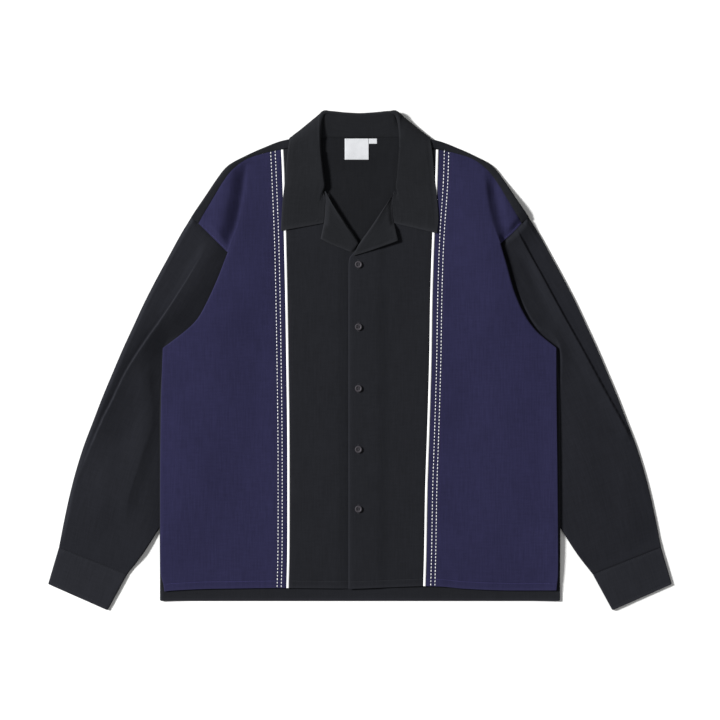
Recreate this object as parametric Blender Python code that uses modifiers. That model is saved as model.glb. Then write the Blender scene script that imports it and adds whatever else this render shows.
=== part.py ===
"""Shirt jacket with a notched collar, buttoned and laid flat on its back.

The garment lies on the plane z = 0 with its front up and its collar toward +Y.
The wearer's right side is on -X.  The origin is under the middle of the garment.
Every cut piece of cloth is a thin shell: an open surface with Solidify.

Sizes and tables are in millimetres, and mesh points are in metres.
"""

import bpy
import bmesh
import numpy as np

MM = 0.001

# ---------------------------------------------------------------- cloth walls
BODY_WALL = 1.2
SLEEVE_WALL = 1.2
CUFF_WALL = 1.7
COLLAR_WALL = 1.4
LAPEL_WALL = 1.2
LABEL_WALL = 1.0

# ------------------------------------------------- gaps between cloth layers
SEAM_GAP = 0.3
LAYER_GAP = 0.4
BODY_AIR = 1.4
SIDE_SEAM_AIR = 0.9
SLEEVE_AIR = 0.8
SLEEVE_HEIGHT = 2.0 * SLEEVE_WALL + SLEEVE_AIR
CUFF_HEIGHT = 2.0 * CUFF_WALL + SLEEVE_AIR

# ------------------------------------------------------------------- trimmings
PIPING_WIDTH = 4.4
PIPING_WALL = 1.7
LABEL_LEFT, LABEL_RIGHT = -23.7, 14.3
LABEL_BOTTOM, LABEL_TOP = 310.0, 343.0
TAB_LEFT, TAB_RIGHT = 14.7, 27.4
TAB_BOTTOM = 335.0
BUTTON_DIAMETER = 11.0
BUTTON_THICKNESS = 2.6
BUTTON_EDGE = 0.4
BUTTON_HOLE = 1.7
BUTTON_HOLE_SPACING = 2.6
BUTTON_X = -2.3
BUTTON_HEIGHTS = (148.0, 51.2, -44.2, -138.7, -231.0)

# ------------------------------------------------------------------ hem levels
BACK_HEM = -373.6
UNDERLAP_EDGE = 13.0
OVERLAP_EDGE = -17.7

# The tables below give one side of the garment, with x as the distance from
# the middle, unless a table names its side.

# Side edge of the body, from the hem to the underarm.
#            x      y
SIDE_EDGE = (
    (310.0, -373.6),
    (310.0, -330.0),
    (310.3, -260.0),
    (310.2, -160.0),
    (309.6, -60.0),
    (305.0, 17.0),
)

# Shoulder, from the neck point to the armhole: its fold, and the seam where
# the back, carried over the fold, meets the front.
#         fold_x  fold_y  seam_x  seam_y
SHOULDER = (
    (72.0, 347.5, 76.0, 335.0),
    (119.0, 340.5, 121.0, 326.6),
    (150.0, 329.2, 147.0, 321.0),
    (178.0, 316.6, 174.0, 312.0),
    (204.6, 301.6, 195.5, 296.6),
    (222.5, 280.0, 212.5, 275.0),
    (243.5, 248.5, 230.3, 245.4),
    (262.0, 221.0, 250.0, 212.2),
)

# Armhole of the back, from the underarm up.  The front and the sleeve hide it.
#                 x      y
BACK_ARMHOLE = (
    (304.0, 12.0),
    (269.0, 42.0),
    (249.0, 63.0),
    (233.0, 92.0),
    (217.0, 130.0),
    (207.0, 166.0),
    (226.0, 190.0),
    (246.0, 211.0),
    (262.0, 221.0),
)

# Open inner edge of the sleeve's head, lapped under the body, from the
# underarm up.  Its end is straight from there to the outer fold.
#                 x_left  y_left  x_right  y_right
SLEEVE_HEAD = (
    (246.0, 24.0, 246.0, 24.0),
    (233.0, 56.0, 237.0, 56.0),
    (217.0, 92.0, 225.0, 92.0),
    (204.0, 128.0, 215.0, 132.0),
    (198.5, 168.0, 213.0, 178.0),
)

# Folded edge of the front where it laps over the sleeve, bottom to top.
#                 x_left  y_left  x_right  y_right
FRONT_FOLD_EDGE = (
    (305.4, 18.6, 304.0, 18.8),
    (272.8, 43.4, 273.4, 45.0),
    (252.7, 62.8, 253.4, 72.9),
    (237.9, 88.4, 237.9, 108.5),
    (220.9, 125.6, 225.5, 153.5),
    (205.0, 167.0, 222.0, 180.9),
    (228.0, 189.8, 237.5, 196.4),
    (250.0, 211.7, 250.0, 211.7),
)

# Soft fold that carries on from that edge up to the shoulder.
#             x_left  y_left  x_right  y_right
FRONT_FOLD = (
    (204.6, 167.4, 222.0, 180.9),
    (190.7, 209.3, 203.1, 238.7),
    (182.9, 255.8, 198.4, 263.5),
    (177.5, 296.1, 193.0, 291.4),
)

# Outer fold of the sleeve from the shoulder to the cuff seam.
#               x      y
SLEEVE_OUTER = (
    (253.5, 226.5),
    (268.5, 209.5),
    (280.6, 190.7),
    (300.7, 153.5),
    (320.9, 116.3),
    (339.5, 79.1),
    (356.5, 41.9),
    (373.6, 4.7),
    (389.1, -32.6),
    (404.6, -69.8),
    (418.5, -107.0),
    (432.5, -144.2),
    (443.3, -181.4),
    (452.6, -218.6),
    (460.4, -255.8),
    (467.0, -290.0),
)

# Inner fold of the sleeve.  It runs under the body down to y = -260.
#               x      y
SLEEVE_INNER = (
    (246.0, 24.0),
    (250.0, -30.0),
    (256.0, -95.0),
    (268.0, -165.0),
    (292.5, -228.0),
    (319.3, -274.4),
    (344.1, -311.6),
    (361.0, -332.5),
)

# Width of the strip of sleeve outside its long crease.
#                 y   strip_left  strip_right
SLEEVE_CREASE = (
    (205.0, 24.0, 20.0),
    (169.0, 43.0, 30.0),
    (113.0, 44.0, 26.0),
    (60.0, 34.0, 24.0),
    (0.0, 21.0, 20.0),
    (-60.0, 13.0, 12.0),
    (-114.0, 7.0, 6.0),
    (-170.0, 4.0, 4.0),
)

# Shallow folds of the sleeve and of the front: ends (x, y), height, width.
SLEEVE_FOLDS = (
    ((322.0, -40.0), (362.0, -262.0), 2.0, 20.0),
    ((372.0, -120.0), (424.0, -292.0), 1.4, 22.0),
)
FRONT_FOLDS = (
    ((292.0, 8.0), (176.0, 96.0), 1.8, 24.0),
    ((286.0, -70.0), (196.0, -330.0), 1.3, 30.0),
    ((150.0, 180.0), (168.0, -20.0), 1.2, 22.0),
)

# Cuff corners: seam end and hem end of each fold.
CUFF_OUTER_SEAM = (467.2, -291.0)
CUFF_OUTER_HEM = (483.4, -347.0)
CUFF_INNER_SEAM = (361.4, -333.2)
CUFF_INNER_HEM = (391.7, -386.4)

# Middle line of the piping from the hem to the shoulder seam.
#           x_left  y_left  x_right  y_right
PIPING = (
    (112.1, -353.6, 100.0, -353.6),
    (110.8, -293.0, 101.5, -293.0),
    (110.6, -200.0, 103.1, -200.0),
    (110.9, -107.0, 106.2, -107.0),
    (112.4, 4.7, 109.3, 0.0),
    (114.0, 100.0, 110.8, 93.0),
    (116.2, 200.0, 113.9, 190.7),
    (118.8, 290.0, 118.2, 270.0),
    (120.4, 326.0, 119.8, 326.0),
)

# Side edge of each navy panel from the front hem to the underarm.
#           x_left  y_left  x_right  y_right
FRONT_SIDE_EDGE = (
    (309.0, -358.8, 307.0, -358.8),
    (309.3, -260.0, 306.6, -260.0),
    (309.2, -160.0, 305.6, -160.0),
    (308.0, -60.0, 304.4, -60.0),
    (305.4, 18.6, 304.0, 18.8),
)
FRONT_HEM_MIDDLE = -355.0

# Neck edge of each front above the break of the lapel, bottom to top.
#              x       y
LEFT_NECK_EDGE = (
    (13.0, 150.0),
    (-4.5, 178.0),
    (-24.5, 208.0),
    (-44.0, 236.0),
    (-58.0, 252.0),
    (-68.5, 268.0),
    (-73.5, 288.0),
    (-75.0, 308.0),
    (-76.0, 334.0),
)
RIGHT_NECK_EDGE = (
    (-17.7, 166.0),
    (1.0, 179.0),
    (20.0, 205.0),
    (38.0, 231.0),
    (57.0, 252.0),
    (68.5, 268.0),
    (73.5, 288.0),
    (75.0, 308.0),
    (76.0, 334.0),
)

# Turned lapels.  The roll is the folded inner edge, bottom to top; the free
# edge runs from the tip to the notch and up the seam with the collar.
LEFT_LAPEL_ROLL = (
    (-19.5, 170.0),
    (-3.6, 183.0),
    (-21.7, 210.8),
    (-41.4, 240.3),
    (-49.2, 252.0),
)
LEFT_LAPEL_FREE = (
    (-60.6, 187.6),
    (-55.6, 212.0),
    (-53.6, 232.0),
    (-52.6, 251.5),
)
LEFT_LAPEL_BOTTOM = (
    (-60.6, 187.6),
    (-41.4, 178.3),
    (-22.0, 170.6),
)
RIGHT_LAPEL_ROLL = (
    (-14.5, 161.0),
    (-0.8, 180.6),
    (17.5, 206.6),
    (33.3, 230.2),
    (47.6, 251.5),
)
RIGHT_LAPEL_FREE = (
    (58.6, 184.5),
    (53.0, 213.0),
    (50.8, 232.0),
    (49.9, 250.5),
)
RIGHT_LAPEL_BOTTOM = (
    (-12.5, 158.0),
    (17.5, 168.3),
    (58.6, 184.5),
)

# Section of a lapel from its roll (0) to its free edge (1): share of the way
# across, lift above the front, and how far the roll curls down below that.
#      place  lift  curl
LAPEL_PROFILE = (
    (0.00, 0.8, 2.6),
    (0.03, 1.4, 0.8),
    (0.10, 2.2, 0.0),
    (0.28, 2.6, 0.0),
    (0.52, 2.0, 0.0),
    (0.76, 1.0, 0.0),
    (1.00, 0.0, 0.0),
)

# Collar, from the notch to the middle of the back.  Each row is one section:
# neck seam, centre of the roll, outer edge, with heights above the table.
# turn is the side of the roll that the fold faces: 180 toward the neck hole,
# 90 straight up, 0 away from the neck hole.  fold is 0 where the collar lies
# flat on the front and 1 where it is turned over.
#     neck_x neck_y neck_z  roll_x roll_y roll_z radius turn  edge_x edge_y edge_z fold
COLLAR_SECTIONS = (
    (56.6, 212.4, 5.2, 60.0, 211.8, 5.4, 1.6, 180.0, 122.3, 200.6, 5.2, 0.0),
    (55.3, 224.0, 5.3, 59.0, 223.6, 5.6, 1.6, 180.0, 121.6, 218.0, 5.2, 0.0),
    (54.4, 238.0, 5.4, 58.0, 238.2, 5.8, 1.6, 180.0, 120.4, 240.0, 5.2, 0.0),
    (54.6, 252.0, 5.4, 57.6, 252.6, 6.6, 2.0, 180.0, 118.4, 260.0, 5.3, 0.4),
    (61.5, 271.0, 4.0, 60.2, 270.4, 7.4, 3.0, 180.0, 116.4, 276.0, 5.4, 1.0),
    (71.2, 300.0, 4.0, 63.4, 300.0, 8.4, 3.6, 176.0, 114.6, 296.0, 5.8, 1.0),
    (73.4, 325.0, 5.6, 65.0, 331.0, 10.8, 4.2, 160.0, 112.4, 318.0, 8.0, 1.0),
    (71.0, 341.0, 5.6, 63.6, 360.0, 13.0, 4.4, 130.0, 109.6, 337.0, 8.0, 1.0),
    (61.0, 344.8, 4.2, 58.0, 379.6, 13.4, 4.2, 70.0, 106.6, 344.6, 2.6, 1.0),
    (46.0, 344.9, 3.4, 45.5, 381.0, 12.2, 4.2, 30.0, 78.0, 338.0, 0.7, 1.0),
    (24.0, 344.9, 3.2, 24.0, 378.8, 11.6, 4.2, 10.0, 38.0, 331.0, 0.7, 1.0),
    (0.0, 344.9, 3.2, 0.0, 377.5, 11.4, 4.2, 0.0, 0.0, 329.0, 0.7, 1.0),
)

# Places along that table where the collar has a section.
COLLAR_STEPS = (0, 1, 2, 3, 3.5, 4, 5, 6, 6.5, 7, 7.5, 8, 8.33, 8.67, 9, 10, 11)
RIGHT_GORGE_SHIFT = (3.2, 3.6, 3.6, 2.4)

BLACK_CLOTH = (0.018, 0.019, 0.023, 1.0)
COLLAR_CLOTH = (0.023, 0.025, 0.028, 1.0)
NAVY_CLOTH = (0.027, 0.024, 0.069, 1.0)
WHITE_TRIM = (0.86, 0.87, 0.88, 1.0)
BUTTON_PLASTIC = (0.030, 0.028, 0.032, 1.0)


# ---------------------------------------------------------------------- curves
def side_columns(table, side):
    """Rows (x, y) of one side of a table with left and right columns."""
    rows = np.array(table, dtype=float)
    return rows[:, 0:2] if side < 0 else rows[:, 2:4]


def dense_curve(rows, per_span=16):
    """Points on a smooth curve through the rows (Catmull-Rom, any columns)."""
    points = np.array(rows, dtype=float)
    if len(points) == 2:
        steps = np.linspace(0.0, 1.0, per_span + 1)[:, None]
        return points[0] * (1.0 - steps) + points[1] * steps
    first = 2.0 * points[0] - points[1]
    last = 2.0 * points[-1] - points[-2]
    padded = np.vstack((first, points, last))
    pieces = []
    for index in range(len(points) - 1):
        p0, p1, p2, p3 = padded[index:index + 4]
        t = np.linspace(0.0, 1.0, per_span, endpoint=False)[:, None]
        value = 2.0 * p1 + (p2 - p0) * t
        value = value + (2.0 * p0 - 5.0 * p1 + 4.0 * p2 - p3) * t ** 2
        value = value + (3.0 * p1 - p0 - 3.0 * p2 + p3) * t ** 3
        pieces.append(0.5 * value)
    pieces.append(points[-1:])
    return np.vstack(pieces)


def points_at(rows, places):
    """Points along a chain of points, at the given shares of its length."""
    points = np.array(rows, dtype=float)
    lengths = np.linalg.norm(np.diff(points[:, :2], axis=0), axis=1)
    along = np.concatenate(([0.0], np.cumsum(lengths)))
    targets = np.array(places) * along[-1]
    columns = [np.interp(targets, along, points[:, k]) for k in range(points.shape[1])]
    return np.column_stack(columns)


def even_points(rows, count):
    """count points evenly spaced along a chain of points, ends included."""
    return points_at(rows, np.linspace(0.0, 1.0, count))


def smooth_points(rows, count):
    """count points evenly spaced on the smooth curve through the rows."""
    return even_points(dense_curve(rows), count)


def curve_x_at(rows, y):
    """x of a smooth curve at heights y, for a curve that only rises or falls."""
    points = dense_curve(rows)
    points = points[np.argsort(points[:, 1])]
    return np.interp(y, points[:, 1], points[:, 0])


def mirrored(rows, side):
    """Rows with x on the given side of the middle: -1 for -X, +1 for +X."""
    points = np.array(rows, dtype=float)
    points[:, 0] = points[:, 0] * side
    return points


def inset(rows, distance):
    """Points moved to the left of their direction of travel by the distance."""
    points = np.array(rows, dtype=float)
    tangent = np.gradient(points[:, :2], axis=0)
    tangent = tangent / np.linalg.norm(tangent, axis=1)[:, None]
    points[:, 0] = points[:, 0] - tangent[:, 1] * distance
    points[:, 1] = points[:, 1] + tangent[:, 0] * distance
    return points


def patch(bottom, right, top, left, places=None):
    """Grid (rows, columns, 2) between four boundary curves (a Coons patch).

    bottom and top run toward +X and have equal counts; left and right run
    toward +Y and have equal counts.  places are the shares of the way across
    of the points of bottom and top, if they are not even.
    """
    if places is None:
        places = np.linspace(0.0, 1.0, len(bottom))
    u = np.array(places)[None, :, None]
    v = np.linspace(0.0, 1.0, len(left))[:, None, None]
    between_sides = left[:, None, :] * (1.0 - u) + right[:, None, :] * u
    between_ends = bottom[None, :, :] * (1.0 - v) + top[None, :, :] * v
    low = bottom[0] * (1.0 - u) + bottom[-1] * u
    high = top[0] * (1.0 - u) + top[-1] * u
    return between_sides + between_ends - (low * (1.0 - v) + high * v)


# --------------------------------------------------------------- cloth heights
def ramp(value, start, end):
    """Smooth step: 0 at start, 1 at end, flat outside, either way round."""
    t = np.clip((value - start) / (end - start), 0.0, 1.0)
    return t * t * (3.0 - 2.0 * t)


def rise_over_sleeve(x, y, side):
    """Lift of the body where the sleeve lies under it."""
    head = side_columns(SLEEVE_HEAD, side)
    end = np.array(SLEEVE_OUTER[:1])
    limit = np.vstack((dense_curve(SLEEVE_INNER)[::-1], head, end))
    order = np.argsort(limit[:, 1])
    inner = np.interp(y, limit[order, 1], limit[order, 0])
    across = ramp(np.abs(x), inner - 56.0, inner - 13.0)
    along = ramp(y, 268.0, 234.0)
    return (SLEEVE_HEIGHT + 2.0 * LAYER_GAP) * across * along


def rise_over_collar(x, y):
    """Lift of the body where the collar's fall lies under the back of the neck."""
    across = ramp(np.abs(x), 136.0, 108.0)
    along = ramp(y, 292.0, 324.0)
    return (COLLAR_WALL + 3.0 * LAYER_GAP) * across * along


def back_bottom(x, y):
    """Height of the under face of the back panel."""
    over_sleeve = np.where(x < 0.0, rise_over_sleeve(x, y, -1), rise_over_sleeve(x, y, 1))
    return np.maximum(over_sleeve, rise_over_collar(x, y))


def crease_height(x, y, start, end, height, width):
    """Soft ridge along the straight line between two points (x, y)."""
    run = np.subtract(end, start)
    length = np.linalg.norm(run)
    unit = run / length
    along = (x - start[0]) * unit[0] + (y - start[1]) * unit[1]
    off = (y - start[1]) * unit[0] - (x - start[0]) * unit[1]
    ends = ramp(along, 0.0, 0.3 * length) * ramp(along, length, 0.7 * length)
    return height * ends * np.exp(-(off / width) ** 2)


def fold_height(x, y, side):
    """Ridge of the front along its soft fold up to the shoulder."""
    edge = curve_x_at(side_columns(FRONT_FOLD, side), y)
    beside = edge - np.abs(x)
    ridge = ramp(beside, -4.0, 8.0) * ramp(beside, 62.0, 14.0)
    reach = ramp(y, 40.0, 150.0) * ramp(y, 318.0, 280.0)
    return 2.6 * ridge * reach


def front_bottom(x, y, side):
    """Height of the under face of the front panels."""
    base = back_bottom(x, y)
    air = BODY_AIR - (BODY_AIR - SIDE_SEAM_AIR) * ramp(np.abs(x), 284.0, 304.0)
    folds = fold_height(x, y, side)
    for start, end, height, width in FRONT_FOLDS:
        folds = folds + crease_height(np.abs(x), y, start, end, height, width)
    return base + BODY_WALL + air + folds


def overlap_rise(x):
    """Extra lift of the front that is buttoned over the other one."""
    return (BODY_WALL + LAYER_GAP) * ramp(x, 46.0, 24.0)


# --------------------------------------------------------------------- objects
def clear_scene():
    """Remove what the scene holds before the garment is made."""
    for item in list(bpy.data.objects):
        bpy.data.objects.remove(item, do_unlink=True)


def make_collection(name):
    """New collection in the scene."""
    collection = bpy.data.collections.new(name)
    bpy.context.scene.collection.children.link(collection)
    return collection


def make_material(name, colour, roughness):
    """Principled material with a plain colour."""
    material = bpy.data.materials.new(name)
    material.use_nodes = True
    shader = material.node_tree.nodes["Principled BSDF"]
    shader.inputs["Base Color"].default_value = colour
    shader.inputs["Roughness"].default_value = roughness
    shader.inputs["Metallic"].default_value = 0.0
    material.diffuse_color = colour
    return material


def grid_mesh(name, points, skip=None, weld=False):
    """Mesh of a grid whose vertices lie on points (rows, columns, 3) in mm."""
    rows, columns = points.shape[0], points.shape[1]
    mesh_builder = bmesh.new()
    bmesh.ops.create_grid(mesh_builder, x_segments=columns - 1, y_segments=rows - 1, size=1.0)
    mesh_builder.verts.ensure_lookup_table()
    flat_points = points.reshape(-1, 3) * MM
    for vertex, position in zip(mesh_builder.verts, flat_points):
        vertex.co = position
    if skip is not None:
        mesh_builder.verts.index_update()
        unused = []
        for face in mesh_builder.faces:
            corners = [divmod(vertex.index, columns) for vertex in face.verts]
            row = min(corner[0] for corner in corners)
            column = min(corner[1] for corner in corners)
            if skip(row, column):
                unused.append(face)
        bmesh.ops.delete(mesh_builder, geom=unused, context="FACES")
    if weld:
        bmesh.ops.remove_doubles(mesh_builder, verts=mesh_builder.verts, dist=0.00001)
    mesh = bpy.data.meshes.new(name)
    mesh_builder.to_mesh(mesh)
    mesh_builder.free()
    return mesh


def add_cloth(name, points, wall, material, collection, offset=1.0, skip=None, weld=False, even=True):
    """Cloth piece: the surface through the points, with its wall on one side."""
    mesh = grid_mesh(name, points, skip, weld)
    mesh.materials.append(material)
    piece = bpy.data.objects.new(name, mesh)
    collection.objects.link(piece)
    solid = piece.modifiers.new("wall", "SOLIDIFY")
    solid.thickness = wall * MM
    solid.offset = offset
    solid.use_even_offset = even
    solid.use_rim = True
    mesh.shade_smooth()
    return piece


def with_height(flat, height):
    """Grid of 3-D points from a flat grid and its heights."""
    return np.concatenate((flat, height[:, :, None]), axis=2)


# ------------------------------------------------------------------ the pieces
def add_back(material, collection):
    """Back panel, hem to neck, carried over both shoulders to the front seam."""
    sides = {}
    for side in (-1, 1):
        edge = mirrored(smooth_points(SIDE_EDGE, 9), side)
        arm = mirrored(smooth_points(BACK_ARMHOLE, 9), side)
        sides[side] = np.vstack((edge[:-1], arm))
    hem_x = np.linspace(-1.0, 1.0, 21)
    shoulder = np.array(SHOULDER)[:, 0:2]
    seam = np.array(SHOULDER)[:, 2:4]
    neck_half = np.array(((60.0, 343.6), (30.0, 343.2), (0.0, 343.2)))
    top_half = np.vstack((shoulder[::-1], neck_half))
    top = np.vstack((mirrored(top_half, -1), mirrored(top_half[:-1], 1)[::-1]))
    hem = np.column_stack((hem_x * SIDE_EDGE[0][0], np.full(len(hem_x), BACK_HEM)))
    sides[-1][0] = hem[0]
    sides[1][0] = hem[-1]
    top[0] = sides[-1][-1]
    top[-1] = sides[1][-1]
    flat = patch(hem, sides[1], top, sides[-1])
    points = with_height(flat, back_bottom(flat[:, :, 0], flat[:, :, 1]))
    seam_half = np.vstack((seam[::-1], neck_half))
    seam_row = np.vstack((mirrored(seam_half, -1), mirrored(seam_half[:-1], 1)[::-1]))
    side_of = np.where(seam_row[:, 0] < 0, -1, 1)
    seam_height = np.array([
        front_bottom(np.array([p[0]]), np.array([p[1]]), s)[0]
        for p, s in zip(seam_row, side_of)
    ])
    low = points[-1, :, 2]
    middle = 0.5 * (low + seam_height + BODY_WALL)
    fold_row = np.column_stack((top, middle))
    radius = (middle - low)[:, None]
    toward = seam_row - top
    length = np.maximum(np.linalg.norm(toward, axis=1), 0.001)[:, None]
    inward = toward / length
    points[-1, :, :2] = top + inward * radius
    upper = np.column_stack((top + inward * radius, seam_height + BODY_WALL))
    seam_row = seam_row + inward * -SEAM_GAP
    last = np.column_stack((seam_row, seam_height + BODY_WALL))
    extra = np.stack((fold_row, upper, last))
    base_rows = points.shape[0]
    grid = np.concatenate((points, extra), axis=0)

    def skip(row, column):
        return row >= base_rows - 1 and 7 <= column <= 12

    return add_cloth("back", grid, BODY_WALL, material, collection, 1.0, skip, False, False)


def add_front_centre(side, material, collection):
    """Centre panel of one front, from the piping to the front edge."""
    name = "front_centre_left" if side < 0 else "front_centre_right"
    rows = 17
    seam = smooth_points(mirrored(side_columns(PIPING, side), side), rows)
    seam = inset(seam, (0.5 * PIPING_WIDTH + SEAM_GAP) * side)
    neck = LEFT_NECK_EDGE if side < 0 else RIGHT_NECK_EDGE
    edge_x = UNDERLAP_EDGE if side < 0 else OVERLAP_EDGE
    straight = even_points(((edge_x, FRONT_HEM_MIDDLE), neck[0]), 9)
    turned = smooth_points(neck, 9)
    inner = np.vstack((straight[:-1], turned))
    outer_top = seam[-1]
    inner_top = inner[-1]
    hem = even_points((seam[0], inner[0]), 8)
    top = even_points((outer_top, inner_top), 8)
    if side < 0:
        flat = patch(hem, inner, top, seam)
    else:
        flat = patch(hem[::-1], seam, top[::-1], inner)
    x, y = flat[:, :, 0], flat[:, :, 1]
    height = front_bottom(x, y, side)
    if side > 0:
        height = height + overlap_rise(x)
    return add_cloth(name, with_height(flat, height), BODY_WALL, material, collection)


def add_front_side(side, material, collection):
    """Side panel of one front, from the piping to the side seam and armhole."""
    name = "front_side_left" if side < 0 else "front_side_right"
    lower = mirrored(smooth_points(side_columns(FRONT_SIDE_EDGE, side), 10), side)
    fold = mirrored(smooth_points(side_columns(FRONT_FOLD_EDGE, side)[:6], 6), side)
    fold[0] = lower[-1]
    arm = mirrored(side_columns(FRONT_FOLD_EDGE, side)[5:], side)
    outer = np.vstack((lower[:-1], fold, arm[1:]))
    seam = smooth_points(mirrored(side_columns(PIPING, side), side), len(outer))
    seam = inset(seam, -(0.5 * PIPING_WIDTH + SEAM_GAP) * side)
    shoulder = mirrored(np.array(SHOULDER)[1:, 2:4], side)
    shoulder[:, 1] = shoulder[:, 1] - 0.5
    shoulder[0] = seam[-1]
    shoulder[-1] = outer[-1]
    hem = even_points((outer[0], seam[0]), 7)
    if side < 0:
        flat = patch(hem, seam, shoulder[::-1], outer)
    else:
        flat = patch(hem[::-1], outer, shoulder, seam)
    height = front_bottom(flat[:, :, 0], flat[:, :, 1], side)
    return add_cloth(name, with_height(flat, height), BODY_WALL, material, collection)


def add_piping(side, material, collection):
    """Corded piping sewn between the centre and side panels."""
    name = "piping_left" if side < 0 else "piping_right"
    middle = smooth_points(mirrored(side_columns(PIPING, side), side), 17)
    offsets = np.array((-0.5, 0.0, 0.5)) * PIPING_WIDTH
    flat = np.stack([inset(middle, -offset) for offset in offsets], axis=1)
    height = front_bottom(flat[:, :, 0], flat[:, :, 1], side)
    return add_cloth(name, with_height(flat, height), PIPING_WALL, material, collection)


def tube_section(inner, outer, height, spans, is_open=False):
    """Section of a flattened tube, from its inner fold over the top and back.

    inner and outer are its end points (x, y), and spans counts the steps
    across each face.  An open section leaves its two faces apart at inner.
    """
    radius = 0.5 * height
    width = np.linalg.norm(outer - inner)
    unit = (outer - inner) / width
    reach = radius + (width - 2.0 * radius) * np.linspace(0.0, 1.0, spans + 1)
    turn = np.radians((45.0, 0.0, -45.0))
    across = [0.0, radius * (1.0 - np.sqrt(0.5))]
    level = [radius, radius * (1.0 + np.sqrt(0.5))]
    if is_open:
        level = [height, height]
    across = np.concatenate((across, reach, width - radius + radius * np.cos(turn)))
    level = np.concatenate((level, np.full(spans + 1, height), radius + radius * np.sin(turn)))
    across = np.concatenate((across, reach[::-1], across[1::-1]))
    level = np.concatenate((level, np.zeros(spans + 1), height - level[1::-1]))
    plan = inner + across[:, None] * unit
    return np.column_stack((plan, level))


def tube_grid(inner, outer, height, spans, side, open_rows=0):
    """Grid of a flattened tube whose rows run from its far end upward."""
    sections = []
    for row, (near, far) in enumerate(zip(inner, outer)):
        sections.append(tube_section(near, far, height, spans, row < open_rows))
    grid = np.array(sections)[::-1]
    return grid[:, ::-1] if side < 0 else grid


def sleeve_crease(x, y, side):
    """Height of the sleeve's long soft tuck above its flat upper face."""
    strips = np.array(SLEEVE_CREASE)
    strip = np.interp(y, strips[::-1, 0], strips[::-1, 1 if side < 0 else 2])
    from_outer = curve_x_at(SLEEVE_OUTER, y) - np.abs(x)
    ridge = ramp(from_outer, strip * 0.5, strip + 8.0) * ramp(from_outer, strip + 62.0, strip + 16.0)
    reach = ramp(y, 200.0, 150.0) * ramp(y, -210.0, -110.0)
    beside_body = curve_x_at(side_columns(FRONT_FOLD_EDGE, side), np.clip(y, 18.6, 212.0))
    clear = ramp(np.abs(x) - beside_body, 4.0, 26.0)
    tuck = 2.4 * ridge * reach
    for start, end, height, width in SLEEVE_FOLDS:
        tuck = tuck + crease_height(np.abs(x), y, start, end, height, width)
    return tuck * clear


def add_sleeve(side, material, collection):
    """Sleeve as a flattened tube from the armhole to the cuff seam."""
    name = "sleeve_left" if side < 0 else "sleeve_right"
    open_rows = 5
    spans = 7
    head = side_columns(SLEEVE_HEAD, side)
    inner = np.vstack((head[:0:-1], smooth_points(SLEEVE_INNER, 11)))
    outer = smooth_points(SLEEVE_OUTER, len(inner))
    inner = mirrored(inner, side)
    outer = mirrored(outer, side)
    grid = tube_grid(inner, outer, SLEEVE_HEIGHT, spans, side, open_rows - 1)
    upper = grid[:, :, 2] > SLEEVE_HEIGHT - 0.01
    grid[:, :, 2] += sleeve_crease(grid[:, :, 0], grid[:, :, 1], side) * upper
    return add_cloth(name, grid, SLEEVE_WALL, material, collection, -1.0, None, True, False)


def add_cuff(side, material, collection):
    """Cuff as a flattened band, open at both ends."""
    name = "cuff_left" if side < 0 else "cuff_right"
    rows = 4
    outer = even_points((CUFF_OUTER_SEAM, CUFF_OUTER_HEM), rows)
    inner = even_points((CUFF_INNER_SEAM, CUFF_INNER_HEM), rows)
    outer = mirrored(outer, side)
    inner = mirrored(inner, side)
    grid = tube_grid(inner, outer, CUFF_HEIGHT, 6, side)
    return add_cloth(name, grid, CUFF_WALL, material, collection, -1.0, None, True, False)


def add_lapel(side, material, collection):
    """Turned lapel lying on its front, with its inner edge rolled over."""
    name = "lapel_left" if side < 0 else "lapel_right"
    roll = smooth_points(LEFT_LAPEL_ROLL if side < 0 else RIGHT_LAPEL_ROLL, 10)
    free = smooth_points(LEFT_LAPEL_FREE if side < 0 else RIGHT_LAPEL_FREE, 10)
    bottom = LEFT_LAPEL_BOTTOM if side < 0 else RIGHT_LAPEL_BOTTOM
    profile = np.array(LAPEL_PROFILE)
    places = profile[:, 0]
    lift, curl = profile[:, 1], profile[:, 2]
    if side < 0:
        places, lift, curl = 1.0 - places[::-1], lift[::-1], curl[::-1]
    left, right = (free, roll) if side < 0 else (roll, free)
    bottom = points_at(dense_curve(bottom), places)
    bottom[0], bottom[-1] = left[0], right[0]
    top = points_at((left[-1], right[-1]), places)
    flat = patch(bottom, right, top, left, places)
    x, y = flat[:, :, 0], flat[:, :, 1]
    level = front_bottom(x, y, side) + BODY_WALL + 2.0 * LAYER_GAP
    if side > 0:
        level = level + overlap_rise(x)
    rolled = ramp(y, 176.0, 188.0)
    height = level + lift[None, :] * ramp(y, 156.0, 196.0) - curl[None, :] * rolled
    return add_cloth(name, with_height(flat, height), LAPEL_WALL, material, collection)


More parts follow.
